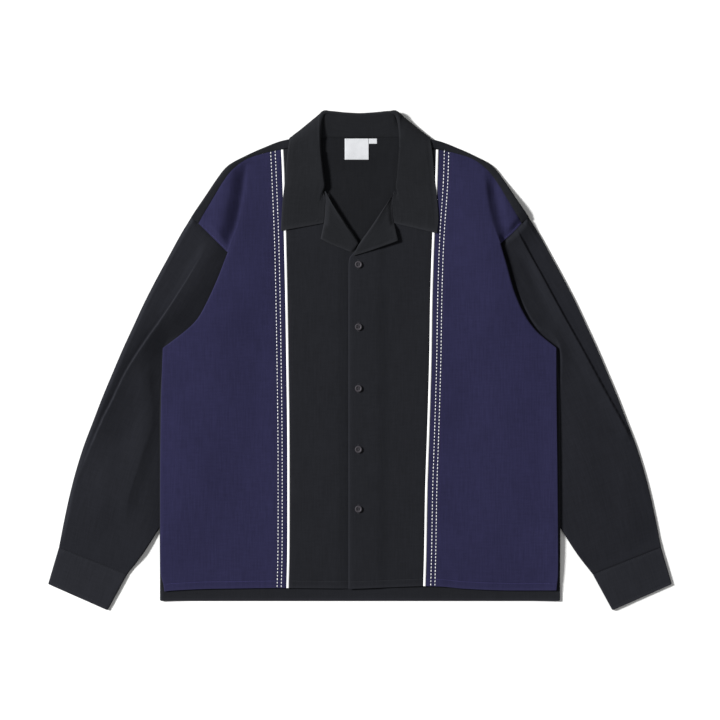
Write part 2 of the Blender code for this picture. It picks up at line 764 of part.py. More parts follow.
def collar_section(row, outward):
    """One section of the collar from its neck seam over the roll to its edge."""
    neck = np.array(row[0:3])
    centre = np.array(row[3:6])
    radius, turn = row[6], np.radians(row[7])
    edge = np.array(row[8:11])
    fold = row[11]
    level = np.array((0.0, 0.0, 1.0))
    out = np.array((outward[0], outward[1], 0.0))
    arc = []
    for angle in (turn + 0.5 * np.pi, turn + 0.25 * np.pi, turn, turn - 0.25 * np.pi, turn - 0.5 * np.pi):
        arc.append(centre + radius * (np.cos(angle) * out + np.sin(angle) * level))
    rolled = [neck, 0.5 * (neck + arc[0])] + arc
    for share in (0.3, 0.65):
        point = arc[-1] * (1.0 - share) + edge * share
        point[2] = edge[2] + (arc[-1][2] - edge[2]) * (1.0 - share) ** 3
        rolled.append(point)
    rolled.append(edge)
    rolled = np.array(rolled)
    places = np.array((0.0, 0.03, 0.06, 0.09, 0.12, 0.15, 0.18, 0.42, 0.72, 1.0))[:, None]
    lying = neck * (1.0 - places) + edge * places
    return lying * (1.0 - fold) + rolled * fold


def collar_rows(table):
    """Rows of the collar table at its steps, between rows on a smooth curve."""
    dense = dense_curve(table, 24)
    places = np.array(COLLAR_STEPS) * 24.0
    whole = np.arange(len(dense))
    columns = [np.interp(places, whole, dense[:, k]) for k in range(dense.shape[1])]
    return np.column_stack(columns)


def add_collar(material, collection):
    """One-piece collar: stand, roll and fall, from notch to notch."""
    half = np.array(COLLAR_SECTIONS, dtype=float)
    other = half.copy()
    other[:4, 0] = other[:4, 0] - np.array(RIGHT_GORGE_SHIFT)
    mirror = np.ones(12)
    mirror[[0, 3, 8]] = -1.0
    left = collar_rows(half * mirror)
    right = collar_rows(other)
    rows = np.vstack((left, right[:-1][::-1]))
    centre = rows[:, 3:5]
    tangent = np.gradient(centre, axis=0)
    tangent = tangent / np.linalg.norm(tangent, axis=1)[:, None]
    outward = np.column_stack((-tangent[:, 1], tangent[:, 0]))
    sections = [collar_section(row, out) for row, out in zip(rows, outward)]
    grid = np.array(sections)
    return add_cloth("collar", grid, COLLAR_WALL, material, collection, 0.0, None, False, False)


def add_label(name, left, right, bottom, material, collection):
    """Blank woven label sewn in at the back of the neck."""
    corners = np.array(((left, bottom), (right, bottom), (right, LABEL_TOP), (left, LABEL_TOP)))
    low = even_points(corners[0:2], 3)
    high = even_points(corners[[3, 2]], 3)
    flat = patch(low, even_points(corners[1:3], 4), high, even_points(corners[[0, 3]], 4))
    height = back_bottom(flat[:, :, 0], flat[:, :, 1]) + BODY_WALL + SEAM_GAP
    return add_cloth(name, with_height(flat, height), LABEL_WALL, material, collection)


def circle_spline(curve, x, y, radius, steps):
    """Round outline in a flat curve."""
    spline = curve.splines.new("POLY")
    spline.points.add(steps - 1)
    for index in range(steps):
        angle = 2.0 * np.pi * index / steps
        px = (x + radius * np.cos(angle)) * MM
        py = (y + radius * np.sin(angle)) * MM
        spline.points[index].co = (px, py, 0.0, 1.0)
    spline.use_cyclic_u = True


def make_button_curve(material):
    """Flat round button with four holes and eased edges."""
    curve = bpy.data.curves.new("button", "CURVE")
    curve.dimensions = "2D"
    curve.fill_mode = "BOTH"
    curve.extrude = (0.5 * BUTTON_THICKNESS - BUTTON_EDGE) * MM
    curve.bevel_depth = BUTTON_EDGE * MM
    curve.bevel_resolution = 0
    circle_spline(curve, 0.0, 0.0, 0.5 * BUTTON_DIAMETER - BUTTON_EDGE, 16)
    half = 0.5 * BUTTON_HOLE_SPACING
    for x in (-half, half):
        for y in (-half, half):
            circle_spline(curve, x, y, 0.5 * BUTTON_HOLE + BUTTON_EDGE, 5)
    curve.materials.append(material)
    return curve


def add_buttons(material, collection):
    """Five buttons down the middle of the lapped front."""
    curve = make_button_curve(material)
    for number, y in enumerate(BUTTON_HEIGHTS, start=1):
        button = bpy.data.objects.new("button_%d" % number, curve)
        collection.objects.link(button)
        x = np.array([BUTTON_X])
        rest = front_bottom(x, np.array([y]), 1)[0] + overlap_rise(x)[0] + BODY_WALL
        level = rest + SEAM_GAP + 0.5 * BUTTON_THICKNESS
        button.location = (BUTTON_X * MM, y * MM, level * MM)


def build():
    """Make every piece of the shirt jacket."""
    clear_scene()
    garment = make_collection("shirt_jacket")
    black = make_material("black_cloth", BLACK_CLOTH, 0.9)
    collar_black = make_material("collar_cloth", COLLAR_CLOTH, 0.9)
    navy = make_material("navy_cloth", NAVY_CLOTH, 0.9)
    white = make_material("white_trim", WHITE_TRIM, 0.75)
    label_white = make_material("label_cloth", WHITE_TRIM, 0.7)
    plastic = make_material("button_plastic", BUTTON_PLASTIC, 0.35)
    add_back(black, garment)
    for side in (-1, 1):
        add_front_centre(side, black, garment)
        add_front_side(side, navy, garment)
        add_piping(side, white, garment)
        add_sleeve(side, black, garment)
        add_cuff(side, black, garment)
        add_lapel(side, collar_black, garment)
    add_collar(collar_black, garment)
    add_label("label", LABEL_LEFT, LABEL_RIGHT, LABEL_BOTTOM, label_white, garment)
    add_label("size_tab", TAB_LEFT, TAB_RIGHT, TAB_BOTTOM, label_white, garment)
    add_buttons(plastic, garment)


build()
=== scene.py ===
"""Shirt jacket with a notched collar, buttoned and laid flat on its back.

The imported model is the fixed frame: front up, collar toward +Y, and the side on
-X is called left.  Sizes and tables are in millimetres, and meshes in metres.
Each cut piece is a thin shell on its solid's form: a fine surface with rounded
edges, its creases, seams and stitches, and a woven finish that follows its grain.
"""

import logging
from dataclasses import dataclass
from enum import Enum

import bpy
import numpy as np
from bpy.types import Mesh, NodeTree, Object
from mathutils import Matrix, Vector


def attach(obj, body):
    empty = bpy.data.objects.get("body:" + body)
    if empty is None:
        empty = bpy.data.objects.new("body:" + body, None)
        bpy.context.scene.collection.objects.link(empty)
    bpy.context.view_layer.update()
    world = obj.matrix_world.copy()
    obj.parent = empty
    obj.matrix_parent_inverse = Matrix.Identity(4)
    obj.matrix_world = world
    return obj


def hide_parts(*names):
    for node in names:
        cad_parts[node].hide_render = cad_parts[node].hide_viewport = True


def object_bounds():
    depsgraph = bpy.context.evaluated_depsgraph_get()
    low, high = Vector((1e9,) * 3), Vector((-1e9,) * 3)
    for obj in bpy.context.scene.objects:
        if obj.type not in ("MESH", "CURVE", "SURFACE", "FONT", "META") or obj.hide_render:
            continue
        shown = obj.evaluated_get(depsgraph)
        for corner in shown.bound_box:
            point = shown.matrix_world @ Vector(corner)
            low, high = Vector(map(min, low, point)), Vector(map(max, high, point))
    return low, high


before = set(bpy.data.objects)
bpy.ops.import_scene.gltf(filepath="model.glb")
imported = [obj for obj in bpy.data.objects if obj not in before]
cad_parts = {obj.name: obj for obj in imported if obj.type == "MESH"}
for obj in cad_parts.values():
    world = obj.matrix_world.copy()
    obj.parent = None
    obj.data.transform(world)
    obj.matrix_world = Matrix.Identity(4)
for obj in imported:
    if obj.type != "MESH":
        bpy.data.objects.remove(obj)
CAD_BOX = [list(corner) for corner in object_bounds()]

log = logging.getLogger("shirt_jacket")
Array = np.ndarray
Pair = tuple[float, float]
MM = 0.001
BODY = "root"
# Distance in millimetres that stands for a point far from any edge.
FAR = 50.0
# Close places beside a mark and inside a cut edge, where the form turns fast.
MARK_PLACES = (-2.6, -1.5, -0.7, 0.0, 0.7, 1.5, 2.6)
EDGE_PLACES = (0.0, 0.4, 0.9, 1.6, 2.6)
# Reach of the wear beside a finished edge, in millimetres.
WEAR_REACH = 2.2
# Rim of a shell: how far it stands out, in walls, and the turns of its two rings.
RIM_BULGE = 0.36
RIM_TURNS = (np.pi / 3, 2 * np.pi / 3)


class Side(Enum):
    """The two halves of the garment, by the sign of x."""

    LEFT = -1
    RIGHT = 1

    @property
    def tag(self) -> str:
        """Name of the side in the names of pieces."""
        return self.name.lower()


class Held(Enum):
    """How a cut piece lies."""

    LAID = "laid"
    FOLDED = "folded"


# --- tables
# Rows give x as the distance from the middle, unless a table names its side.

# Side edge of the back, hem to underarm, and its armhole, underarm to shoulder.
BACK_SIDE = ((310, -373.6), (310, -330), (310.3, -260), (310.2, -160), (309.6, -60), (304, 12))
BACK_ARMHOLE = (
    (304, 12), (268, 41), (247, 62), (230.5, 91), (213, 129), (202, 167.5), (221, 194), (242.5, 215),
    (262, 221),
)
# Shoulder from the neck point to the armhole: fold (x, y), then seam (x, y).
SHOULDER = (
    (72, 347.5, 76, 335), (119, 340.5, 121, 326.6), (150, 329.2, 147, 321), (178, 316.6, 174, 312),
    (204.6, 301.6, 195.5, 296.6), (222.5, 280, 212.5, 275), (243.5, 248.5, 230.3, 245.4),
    (262, 221, 250, 212.2),
)
BACK_NECK = ((72, 347.5), (66, 345.4), (60, 344.4), (30, 343.9), (0, 343.9))

# Inner edge of the sleeve's head under the body, underarm first (left x, y,
# right x, y), then its outer and inner folds from the shoulder to the cuff.
SLEEVE_HEAD = (
    (246, 24, 246, 24), (233, 56, 237, 56), (217, 92, 225, 92), (204, 128, 215, 132),
    (198.5, 168, 213, 178),
)
SLEEVE_OUTER = (
    (256.5, 230), (268.5, 209.5), (280.6, 190.7), (300.7, 153.5), (320.9, 116.3), (339.5, 79.1),
    (356.5, 41.9), (373.6, 4.7), (389.1, -32.6), (404.6, -69.8), (418.5, -107), (432.5, -144.2),
    (443.3, -181.4), (452.6, -218.6), (460.4, -255.8), (467, -290),
)
SLEEVE_INNER = (
    (246, 24), (250, -30), (256, -95), (268, -165), (292.5, -228), (319.3, -274.4), (344.1, -311.6),
    (361, -332.5),
)

# Folded edge of the front over the sleeve, then its seam with the sleeve's head
# (from the sixth row), bottom to top: left x, y, right x, y.
FRONT_FOLD_EDGE = (
    (305.4, 18.6, 304, 18.8), (272.8, 43.4, 273.4, 45), (252.7, 62.8, 253.4, 72.9),
    (237.9, 88.4, 237.9, 108.5), (220.9, 125.6, 225.6, 152), (205, 167, 217.2, 180.4),
    (228, 189.8, 235.5, 196.4), (250, 211.7, 250, 211.7),
)
FOLD_CORNER = 5
# Fold that carries on from that edge up to the shoulder: left x, y, right x, y.
FRONT_FOLD = (
    (205, 167, 217.2, 180.4), (197, 190, 207.3, 208), (189.6, 209.3, 199.5, 238.7),
    (180.2, 255.8, 196, 263.5), (174.6, 296.1, 192, 291.4),
)
# Side edge of each side panel, hem to underarm: left x, y, right x, y.
FRONT_SIDE_EDGE = (
    (303.2, -358.9, 304.4, -357), (304.4, -349, 305, -350), (307.6, -337, 306.2, -340),
    (309.2, -327, 306.8, -328), (309.3, -260, 306.6, -260), (309.2, -160, 305.6, -160),
    (308, -60, 304.4, -60), (305.4, 18.6, 304, 18.8),
)
# Hem of each side panel, side seam to piping: left x, y, right x, y.
FRONT_HEM = (
    (303.2, -358.9, 304.4, -357), (288, -357.4, 262, -357.4), (240, -355.2, 213, -357),
    (186, -354.3, 160, -354.6), (140, -353.7, 130, -351.6), (112.1, -353.6, 100, -350.4),
)
# Middle line of the piping, hem to shoulder: left x, y, right x, y.
PIPING = (
    (112.1, -353.6, 100, -350.6), (110.8, -293, 101.5, -293), (110.6, -200, 103.1, -200),
    (110.9, -107, 106.2, -107), (112.4, 4.7, 109.3, 0), (114, 100, 110.8, 93),
    (116.2, 200, 113.9, 190.7), (118.8, 290, 118.2, 270), (120.4, 326, 119.8, 326),
)
# Neck edge of each front above the break of the lapel (x with its sign).
LEFT_NECK_EDGE = (
    (13, 150), (-4.5, 178), (-24.5, 208), (-44, 236), (-58, 252), (-68.5, 268), (-73.5, 288),
    (-75, 308), (-76, 334),
)
RIGHT_NECK_EDGE = (
    (-17.7, 150), (-16, 158.5), (-10.5, 165.5), (1, 179), (20, 205), (38, 231), (57, 252), (68.5, 268),
    (73.5, 288), (75, 308), (76, 334),
)
# Turned lapels: roll, free edge from the tip up the gorge seam, and bottom edge.
LEFT_LAPEL_ROLL = ((-3.5, 163), (-2, 180.5), (-21.7, 210.8), (-41.4, 240.3), (-53.6, 261.5))
LEFT_LAPEL_FREE = (
    (-60.6, 187.6), (-55.7, 212.4), (-54.4, 224), (-53.5, 238), (-53.3, 252), (-54.4, 261),
)
LEFT_LAPEL_BOTTOM = ((-60.6, 187.6), (-41.4, 178.3), (-22, 170.4), (-6, 163.5))
RIGHT_LAPEL_ROLL = (
    (-9.5, 161.5), (-0.8, 180.6), (17.5, 206.6), (33.3, 230.2), (47.6, 251.5), (53, 261.5),
)
RIGHT_LAPEL_FREE = ((58.6, 184.5), (52.5, 212.4), (50.8, 224), (49.9, 238), (51.2, 252), (53.8, 261))
RIGHT_LAPEL_BOTTOM = ((-8, 158.6), (17.5, 167.8), (58.6, 184.5))
# Section of a lapel from its roll to its free edge: place, lift, curl down.
LAPEL_PROFILE = (
    (0.00, 1.8, 2.6), (0.03, 2.4, 0.8), (0.10, 2.8, 0), (0.28, 2.3, 0), (0.52, 1.9, 0), (0.76, 1.9, 0),
    (1.00, 2.1, 0),
)
# Collar sections from the notch to the middle of the back: neck seam (x, y, z),
# centre of the roll (x, y, z), its radius, the side that it faces in degrees,
# outer edge (x, y, z), and 0 where the collar lies flat to 1 where it is turned.
COLLAR_SECTIONS = (
    (56.6, 212.4, 5.2, 60, 211.8, 5.4, 1.6, 180, 122.3, 200.6, 6.2, 0),
    (55.3, 224, 5.3, 59, 223.6, 5.6, 1.6, 180, 121.6, 218, 6.1, 0),
    (54.4, 238, 5.4, 58, 238.2, 5.8, 1.6, 180, 120.4, 240, 6, 0),
    (54, 252, 5.9, 55.2, 252.6, 6.2, 2.1, 180, 118.4, 260, 5.9, 0.2),
    (61.5, 271, 4, 57.4, 270.4, 6.6, 2.5, 180, 116.4, 276, 5.4, 1),
    (71.2, 300, 4, 61, 300, 6.7, 2.6, 176, 114.6, 296, 5.8, 1),
    (73.4, 325, 5.2, 63.6, 331, 7.9, 2.9, 160, 112.4, 318, 8, 1),
    (71, 341, 5.2, 63.4, 360.2, 9.8, 3.5, 130, 109.6, 337, 8, 1),
    (61, 344.8, 4, 58, 379.8, 10.4, 3.8, 70, 106.6, 344.6, 2.6, 1),
    (46, 344.9, 3.3, 45.5, 381.3, 8.8, 3.8, 30, 78, 338, 0.9, 1),
    (24, 344.9, 3.2, 24, 379.2, 8, 3.8, 10, 38, 331, 0.9, 1),
    (0, 344.9, 3.2, 0, 377.9, 7.8, 3.8, 0, 0, 329, 0.9, 1),
)
RIGHT_GORGE_SHIFT = (3.2, 3.6, 3.6, 2.4)


# --- curves
def spline(rows: Array, t: Array) -> Array:
    """Smooth curve through rows: between two rows, the cubic that passes both
    with the slopes of the lines that join their neighbours (Catmull-Rom).

    Args:
        rows: points (..., n, k).
        t: places (m,), 0 at the first row and n - 1 at the last.

    Returns:
        Points (..., m, k).
    """
    rows = np.asarray(rows, float)
    first = 2 * rows[..., :1, :] - rows[..., 1:2, :]
    last = 2 * rows[..., -1:, :] - rows[..., -2:-1, :]
    padded = np.concatenate((first, rows, last), axis=-2)
    step = np.clip(np.floor(t).astype(int), 0, rows.shape[-2] - 2)
    s = (t - step)[:, None]
    p0, p1, p2, p3 = (padded[..., step + k, :] for k in range(4))
    cubic = 2 * p1 + (p2 - p0) * s + (2 * p0 - 5 * p1 + 4 * p2 - p3) * s**2
    return 0.5 * (cubic + (3 * p1 - p0 - 3 * p2 + p3) * s**3)


def dense(rows: Array, per_span: int = 24) -> Array:
    """Closely spaced points on the smooth curve through rows."""
    spans = len(rows) - 1
    return spline(rows, np.linspace(0, spans, spans * per_span + 1))


def lengths(line: Array) -> Array:
    """Length along a line of points up to each one, from its first two columns."""
    steps = np.linalg.norm(np.diff(line[:, :2], axis=0), axis=1)
    return np.concatenate(([0.0], np.cumsum(steps)))


def at_shares(line: Array, shares: Array) -> Array:
    """Points of a line at shares of its length.

    Args:
        line: points (n, k).
        shares: places (m,) from 0 to 1.

    Returns:
        Points (m, k).
    """
    line = np.asarray(line, float)
    along = lengths(line)
    columns = [np.interp(shares * along[-1], along, column) for column in line.T]
    return np.column_stack(columns)


def of_side(table: tuple, side: Side) -> Array:
    """The two columns of a table that belong to a side, x without its sign."""
    rows = np.array(table, float)
    return rows[:, 0:2] if side is Side.LEFT else rows[:, 2:4]


def signed(rows: Array, side: Side) -> Array:
    """Rows (x, y) with x given the sign of the side."""
    return np.array(rows, float) * (side.value, 1.0)


def inset(line: Array, distance: float) -> Array:
    """Line moved to the left of its direction by a distance.

    Args:
        line: points (n, 2 or more).
        distance: millimetres, negative to the right.

    Returns:
        The moved points.
    """
    moved = np.array(line, float)
    along = np.gradient(moved[:, :2], axis=0)
    along /= np.linalg.norm(along, axis=1)[:, None]
    moved[:, 0] -= along[:, 1] * distance
    moved[:, 1] += along[:, 0] * distance
    return moved


def beside(x: Array, y: Array, rows: Array) -> tuple[Array, Array]:
    """How far points lie from a smooth curve, and where along it.

    Each point is dropped on every short stretch of the curve, and the nearest
    foot gives the distance; the side comes from the cross product there.

    Args:
        x, y: points, any shape.
        rows: rows (x, y) that the curve passes.

    Returns:
        Distance, positive to the left of the curve's direction, and the share of
        the way along, both in the shape of x.
    """
    line = dense(rows, 8)[:, :2]
    run = np.diff(line, axis=0)
    away = np.stack((x.ravel(), y.ravel()), -1)[:, None, :] - line[None, :-1, :]
    foot = np.clip((away * run).sum(-1) / (run**2).sum(-1), 0, 1)
    gap = np.linalg.norm(away - foot[..., None] * run, axis=-1)
    near = gap.argmin(1)
    pick = np.arange(len(near))
    turn = run[near, 0] * away[pick, near, 1] - run[near, 1] * away[pick, near, 0]
    share = (near + foot[pick, near]) / len(run)
    distance = gap[pick, near] * np.where(turn < 0, -1.0, 1.0)
    return distance.reshape(x.shape), share.reshape(x.shape)


def ramp(value: Array, start: float, end: float) -> Array:
    """Smooth step from 0 at start to 1 at end, flat outside, either way round."""
    t = np.clip((value - start) / (end - start), 0, 1)
    return t * t * (3 - 2 * t)


def bell(value: Array, width: float) -> Array:
    """Bell curve: 1 at 0, falling to a third at the width."""
    return np.exp(-((value / width) ** 2))


def undulation(x: Array, y: Array, seed: int, low: float, high: float) -> Array:
    """Slow unevenness of cloth from 0 to 1: the sum of twelve plane waves whose
    directions, phases and lengths are drawn once from a seed.

    Args:
        x, y: points, any shape.
        seed: number that fixes the draws.
        low, high: shortest and longest wave in millimetres.

    Returns:
        Values from 0 to 1 in the shape of x.
    """
    draws = np.random.default_rng(seed)
    angle, phase = draws.uniform(0.0, 2 * np.pi, (2, 12))
    pace = 2 * np.pi / draws.uniform(low, high, 12)
    total = np.zeros_like(x)
    for turn, start, rate in zip(angle, phase, pace):
        total = total + np.sin((x * np.cos(turn) + y * np.sin(turn)) * rate + start)
    return 0.5 + 0.5 * np.tanh(total / 3.5)


def spread(length: float, step: float, marks: tuple = (), edge: bool = True) -> Array:
    """Places along a length: even steps, and close ones at its ends and marks.

    Args:
        length: millimetres.
        step: even spacing in millimetres.
        marks: distances from the start that need close places.
        edge: whether the ends get close places too.

    Returns:
        Shares from 0 to 1, in order.
    """
    close = [mark + place for mark in marks for place in MARK_PLACES]
    if edge:
        close += [*EDGE_PLACES, *(length - place for place in EDGE_PLACES)]
    close = np.array(sorted(c for c in close if 0 <= c <= length) or [0.0])
    even = np.linspace(0, length, max(2, round(length / step) + 1))
    room = 0.45 * min(step, 1.6)
    clear = np.abs(even[:, None] - close[None, :]).min(1) > room
    merged = np.concatenate((close, even[clear], [0.0, length]))
    return np.unique(np.round(merged, 3)) / length


def coons(sides: tuple[Array, Array, Array, Array], u: Array, v: Array) -> Array:
    """Grid between four curves (a Coons patch): the blend of the two upright
    curves, plus that of the two across, less that of the four corners.

    Args:
        sides: bottom, right, top and left curves; bottom and top run toward the
            right and left and right run up, at the shares u and v.
        u, v: shares across and up.

    Returns:
        Points (rows, columns, 2).
    """
    bottom, right, top, left = (side[:, :2] for side in sides)
    u, v = u[None, :, None], v[:, None, None]
    upright = left[:, None, :] * (1 - u) + right[:, None, :] * u
    across = bottom[None] * (1 - v) + top[None] * v
    low = bottom[0] * (1 - u) + bottom[-1] * u
    high = top[0] * (1 - u) + top[-1] * u
    return upright + across - (low * (1 - v) + high * v)


# --- meshes
@dataclass
class Surface:
    """Grid of points (rows, columns, 3) with, for each, its place in the cloth
    across and along the grain, and its distance from a finished edge."""

    points: Array
    grain: Array
    edge: Array
    wrap: bool = False
    keep: Array | None = None


def grid_quads(rows: int, columns: int, wrap: bool, keep: Array | None) -> Array:
    """Faces of a grid of points.

    Args:
        rows, columns: size of the grid.
        wrap: whether the last column joins the first.
        keep: True for each face that stays, or None for all.

    Returns:
        Corner numbers (faces, 4), counter-clockwise from the side that shows.
    """
    index = np.arange(rows * columns).reshape(rows, columns)
    if wrap:
        index = np.hstack((index, index[:, :1]))
    corners = (index[:-1, :-1], index[:-1, 1:], index[1:, 1:], index[1:, :-1])
    quads = np.stack(corners, -1)
    return (quads if keep is None else quads[keep]).reshape(-1, 4)


def mesh_of(name: str, points: Array, quads: Array, grain: Array, edge: Array) -> Mesh:
    """Mesh with its grain as a UV map and its wear near edges as an attribute.

    Wear is 1 on a finished edge and falls off over a few millimetres.

    Args:
        name: name of the piece.
        points: points (n, 3) in millimetres.
        quads: faces (m, 4).
        grain: place in the cloth (n, 2) in millimetres.
        edge: distance (n,) from a finished edge in millimetres.

    Returns:
        The mesh, shaded smooth.
    """
    mesh = bpy.data.meshes.new(name)
    mesh.vertices.add(len(points))
    mesh.vertices.foreach_set("co", np.float32(points * MM).ravel())
    mesh.loops.add(quads.size)
    mesh.loops.foreach_set("vertex_index", quads.astype(np.int32).ravel())
    mesh.polygons.add(len(quads))
    mesh.polygons.foreach_set("loop_start", np.arange(0, quads.size, 4, dtype=np.int32))
    mesh.update(calc_edges=True)
    uv = mesh.uv_layers.new(name="grain")
    uv.data.foreach_set("uv", np.float32(grain * MM)[quads.ravel()].ravel())
    wear = mesh.attributes.new("wear", "FLOAT", "POINT")
    wear.data.foreach_set("value", np.float32(np.exp(-edge / WEAR_REACH)))
    mesh.shade_smooth()
    return mesh


def shell(name: str, surface: Surface, wall: float) -> Mesh:
    """Closed thin shell under a surface, with its cut edges rounded.

    The inner side is the surface moved back along its normals by the wall.  Each
    open edge is closed by half a flattened circle between the two sides, which
    stands out from the cloth by about a third of the wall.

    Args:
        name: name of the piece.
        surface: outer side of the cloth.
        wall: thickness in millimetres.

    Returns:
        The mesh.
    """
    rows, columns = surface.points.shape[:2]
    faces = grid_quads(rows, columns, surface.wrap, surface.keep)
    used, quads = np.unique(faces, return_inverse=True)
    quads = quads.reshape(-1, 4)
    outer = surface.points.reshape(-1, 3)[used]
    grain = surface.grain.reshape(-1, 2)[used]
    edge = surface.edge.ravel()[used]
    count = len(outer)
    a, b, c, d = (outer[quads[:, k]] for k in range(4))
    facing = np.cross(c - a, d - b)
    normal = np.zeros_like(outer)
    for k in range(4):
        np.add.at(normal, quads[:, k], facing)
    normal /= np.maximum(np.linalg.norm(normal, axis=1), 1e-12)[:, None]
    start = quads.ravel()
    end = np.roll(quads, -1, axis=1).ravel()
    rim = ~np.isin(start * count + end, end * count + start)
    start, end = start[rim], end[rim]
    away = np.cross(outer[end] - outer[start], normal[start])
    out = np.zeros_like(outer)
    np.add.at(out, start, away)
    np.add.at(out, end, away)
    ids = np.unique(start)
    out = out[ids] / np.maximum(np.linalg.norm(out[ids], axis=1), 1e-12)[:, None]
    rings = [
        outer[ids]
        - normal[ids] * wall * (0.5 - 0.5 * np.cos(turn))
        + out * wall * RIM_BULGE * np.sin(turn)
        for turn in RIM_TURNS
    ]
    place = np.zeros(count, int)
    place[ids] = np.arange(len(ids))
    first, last = place[start], place[end]
    levels = [(start, end)]
    levels += [(2 * count + k * len(ids) + first, 2 * count + k * len(ids) + last) for k in (0, 1)]
    levels.append((start + count, end + count))
    bands = [
        np.stack((high[1], high[0], low[0], low[1]), -1)
        for high, low in zip(levels[:-1], levels[1:])
    ]
    points = np.concatenate((outer, outer - normal * wall, *rings))
    quads = np.concatenate((quads, quads[:, ::-1] + count, *bands))
    grain = np.concatenate((grain, grain, grain[ids], grain[ids]))
    edge = np.concatenate((edge, edge, edge[ids], edge[ids]))
    mesh = mesh_of(name, points, quads, grain, edge)
    # Inner faces take the second slot, which on the back holds a painted-shade copy of the cloth.
    inner_faces = np.zeros(len(quads), np.int32)
    inner_faces[len(faces) : 2 * len(faces)] = 1
    mesh.attributes.new("material_index", "INT", "FACE").data.foreach_set("value", inner_faces)
    return mesh


def ring_cap(ring: Array) -> Array:
    """Faces that close an even ring of corners with a strip of quads.

    Args:
        ring: corner numbers (n,) in order.

    Returns:
        Corner numbers (faces, 4).
    """
    half = len(ring) // 2
    near, far = ring[:half], ring[half:][::-1]
    return np.stack((near[:-1], near[1:], far[1:], far[:-1]), -1)


def bar_quads(rows: int, columns: int) -> Array:
    """Faces of a closed bar of rings, with both ends capped.

    Args:
        rows: number of rings.
        columns: even number of corners in a ring.

    Returns:
        Corner numbers (faces, 4).
    """
    first = np.arange(columns)
    ends = (ring_cap(first[::-1]), ring_cap(first + (rows - 1) * columns))
    return np.concatenate((grid_quads(rows, columns, True, None), *ends))


# --- finishes
def linear(colour: str) -> tuple[float, float, float, float]:
    """Linear colour of an sRGB hex value: each part over 12.92 where it is dark,
    and otherwise ((part + 0.055) / 1.055) to the power 2.4.

    Args:
        colour: six hex digits, such as "24252A".

    Returns:
        Red, green, blue and 1.
    """
    parts = [int(colour[k : k + 2], 16) / 255 for k in (0, 2, 4)]
    flat = [p / 12.92 if p <= 0.04045 else ((p + 0.055) / 1.055) ** 2.4 for p in parts]
    return (*flat, 1.0)


def add_node(
    tree: NodeTree, kind: str, inputs: dict | None = None, **settings: object
) -> bpy.types.NodeOutputs:
    """Add a node to a material.

    Args:
        tree: the material's nodes.
        kind: Blender's name of the kind of node, after "ShaderNode".
        inputs: a value, or the output that feeds it, for each input by its name
            or number.
        settings: the node's own settings.

    Returns:
        The node's outputs.
    """
    node = tree.nodes.new(f"ShaderNode{kind}")
    for name, value in settings.items():
        setattr(node, name, value)
    for key, value in (inputs or {}).items():
        if isinstance(value, bpy.types.NodeSocket):
            tree.links.new(value, node.inputs[key])
        else:
            node.inputs[key].default_value = value
    return node.outputs


@dataclass(frozen=True)
class Finish:
    """What every finish shares: a name, and a material made from its shader."""

    name: str

    def shader(self, tree: NodeTree) -> dict:
        """Inputs of the finish's shader, made by each kind of finish."""
        raise NotImplementedError

    def material(self) -> bpy.types.Material:
        """Material of the finish, made once.

        Returns:
            The material.
        """
        made = bpy.data.materials.get(self.name)
        if made is None:
            made = bpy.data.materials.new(self.name)
            made.use_nodes = True
            made.node_tree.nodes.clear()
            tree = made.node_tree
            shader = add_node(tree, "BsdfPrincipled", self.shader(tree))
            add_node(tree, "OutputMaterial", {"Surface": shader[0]})
        return made


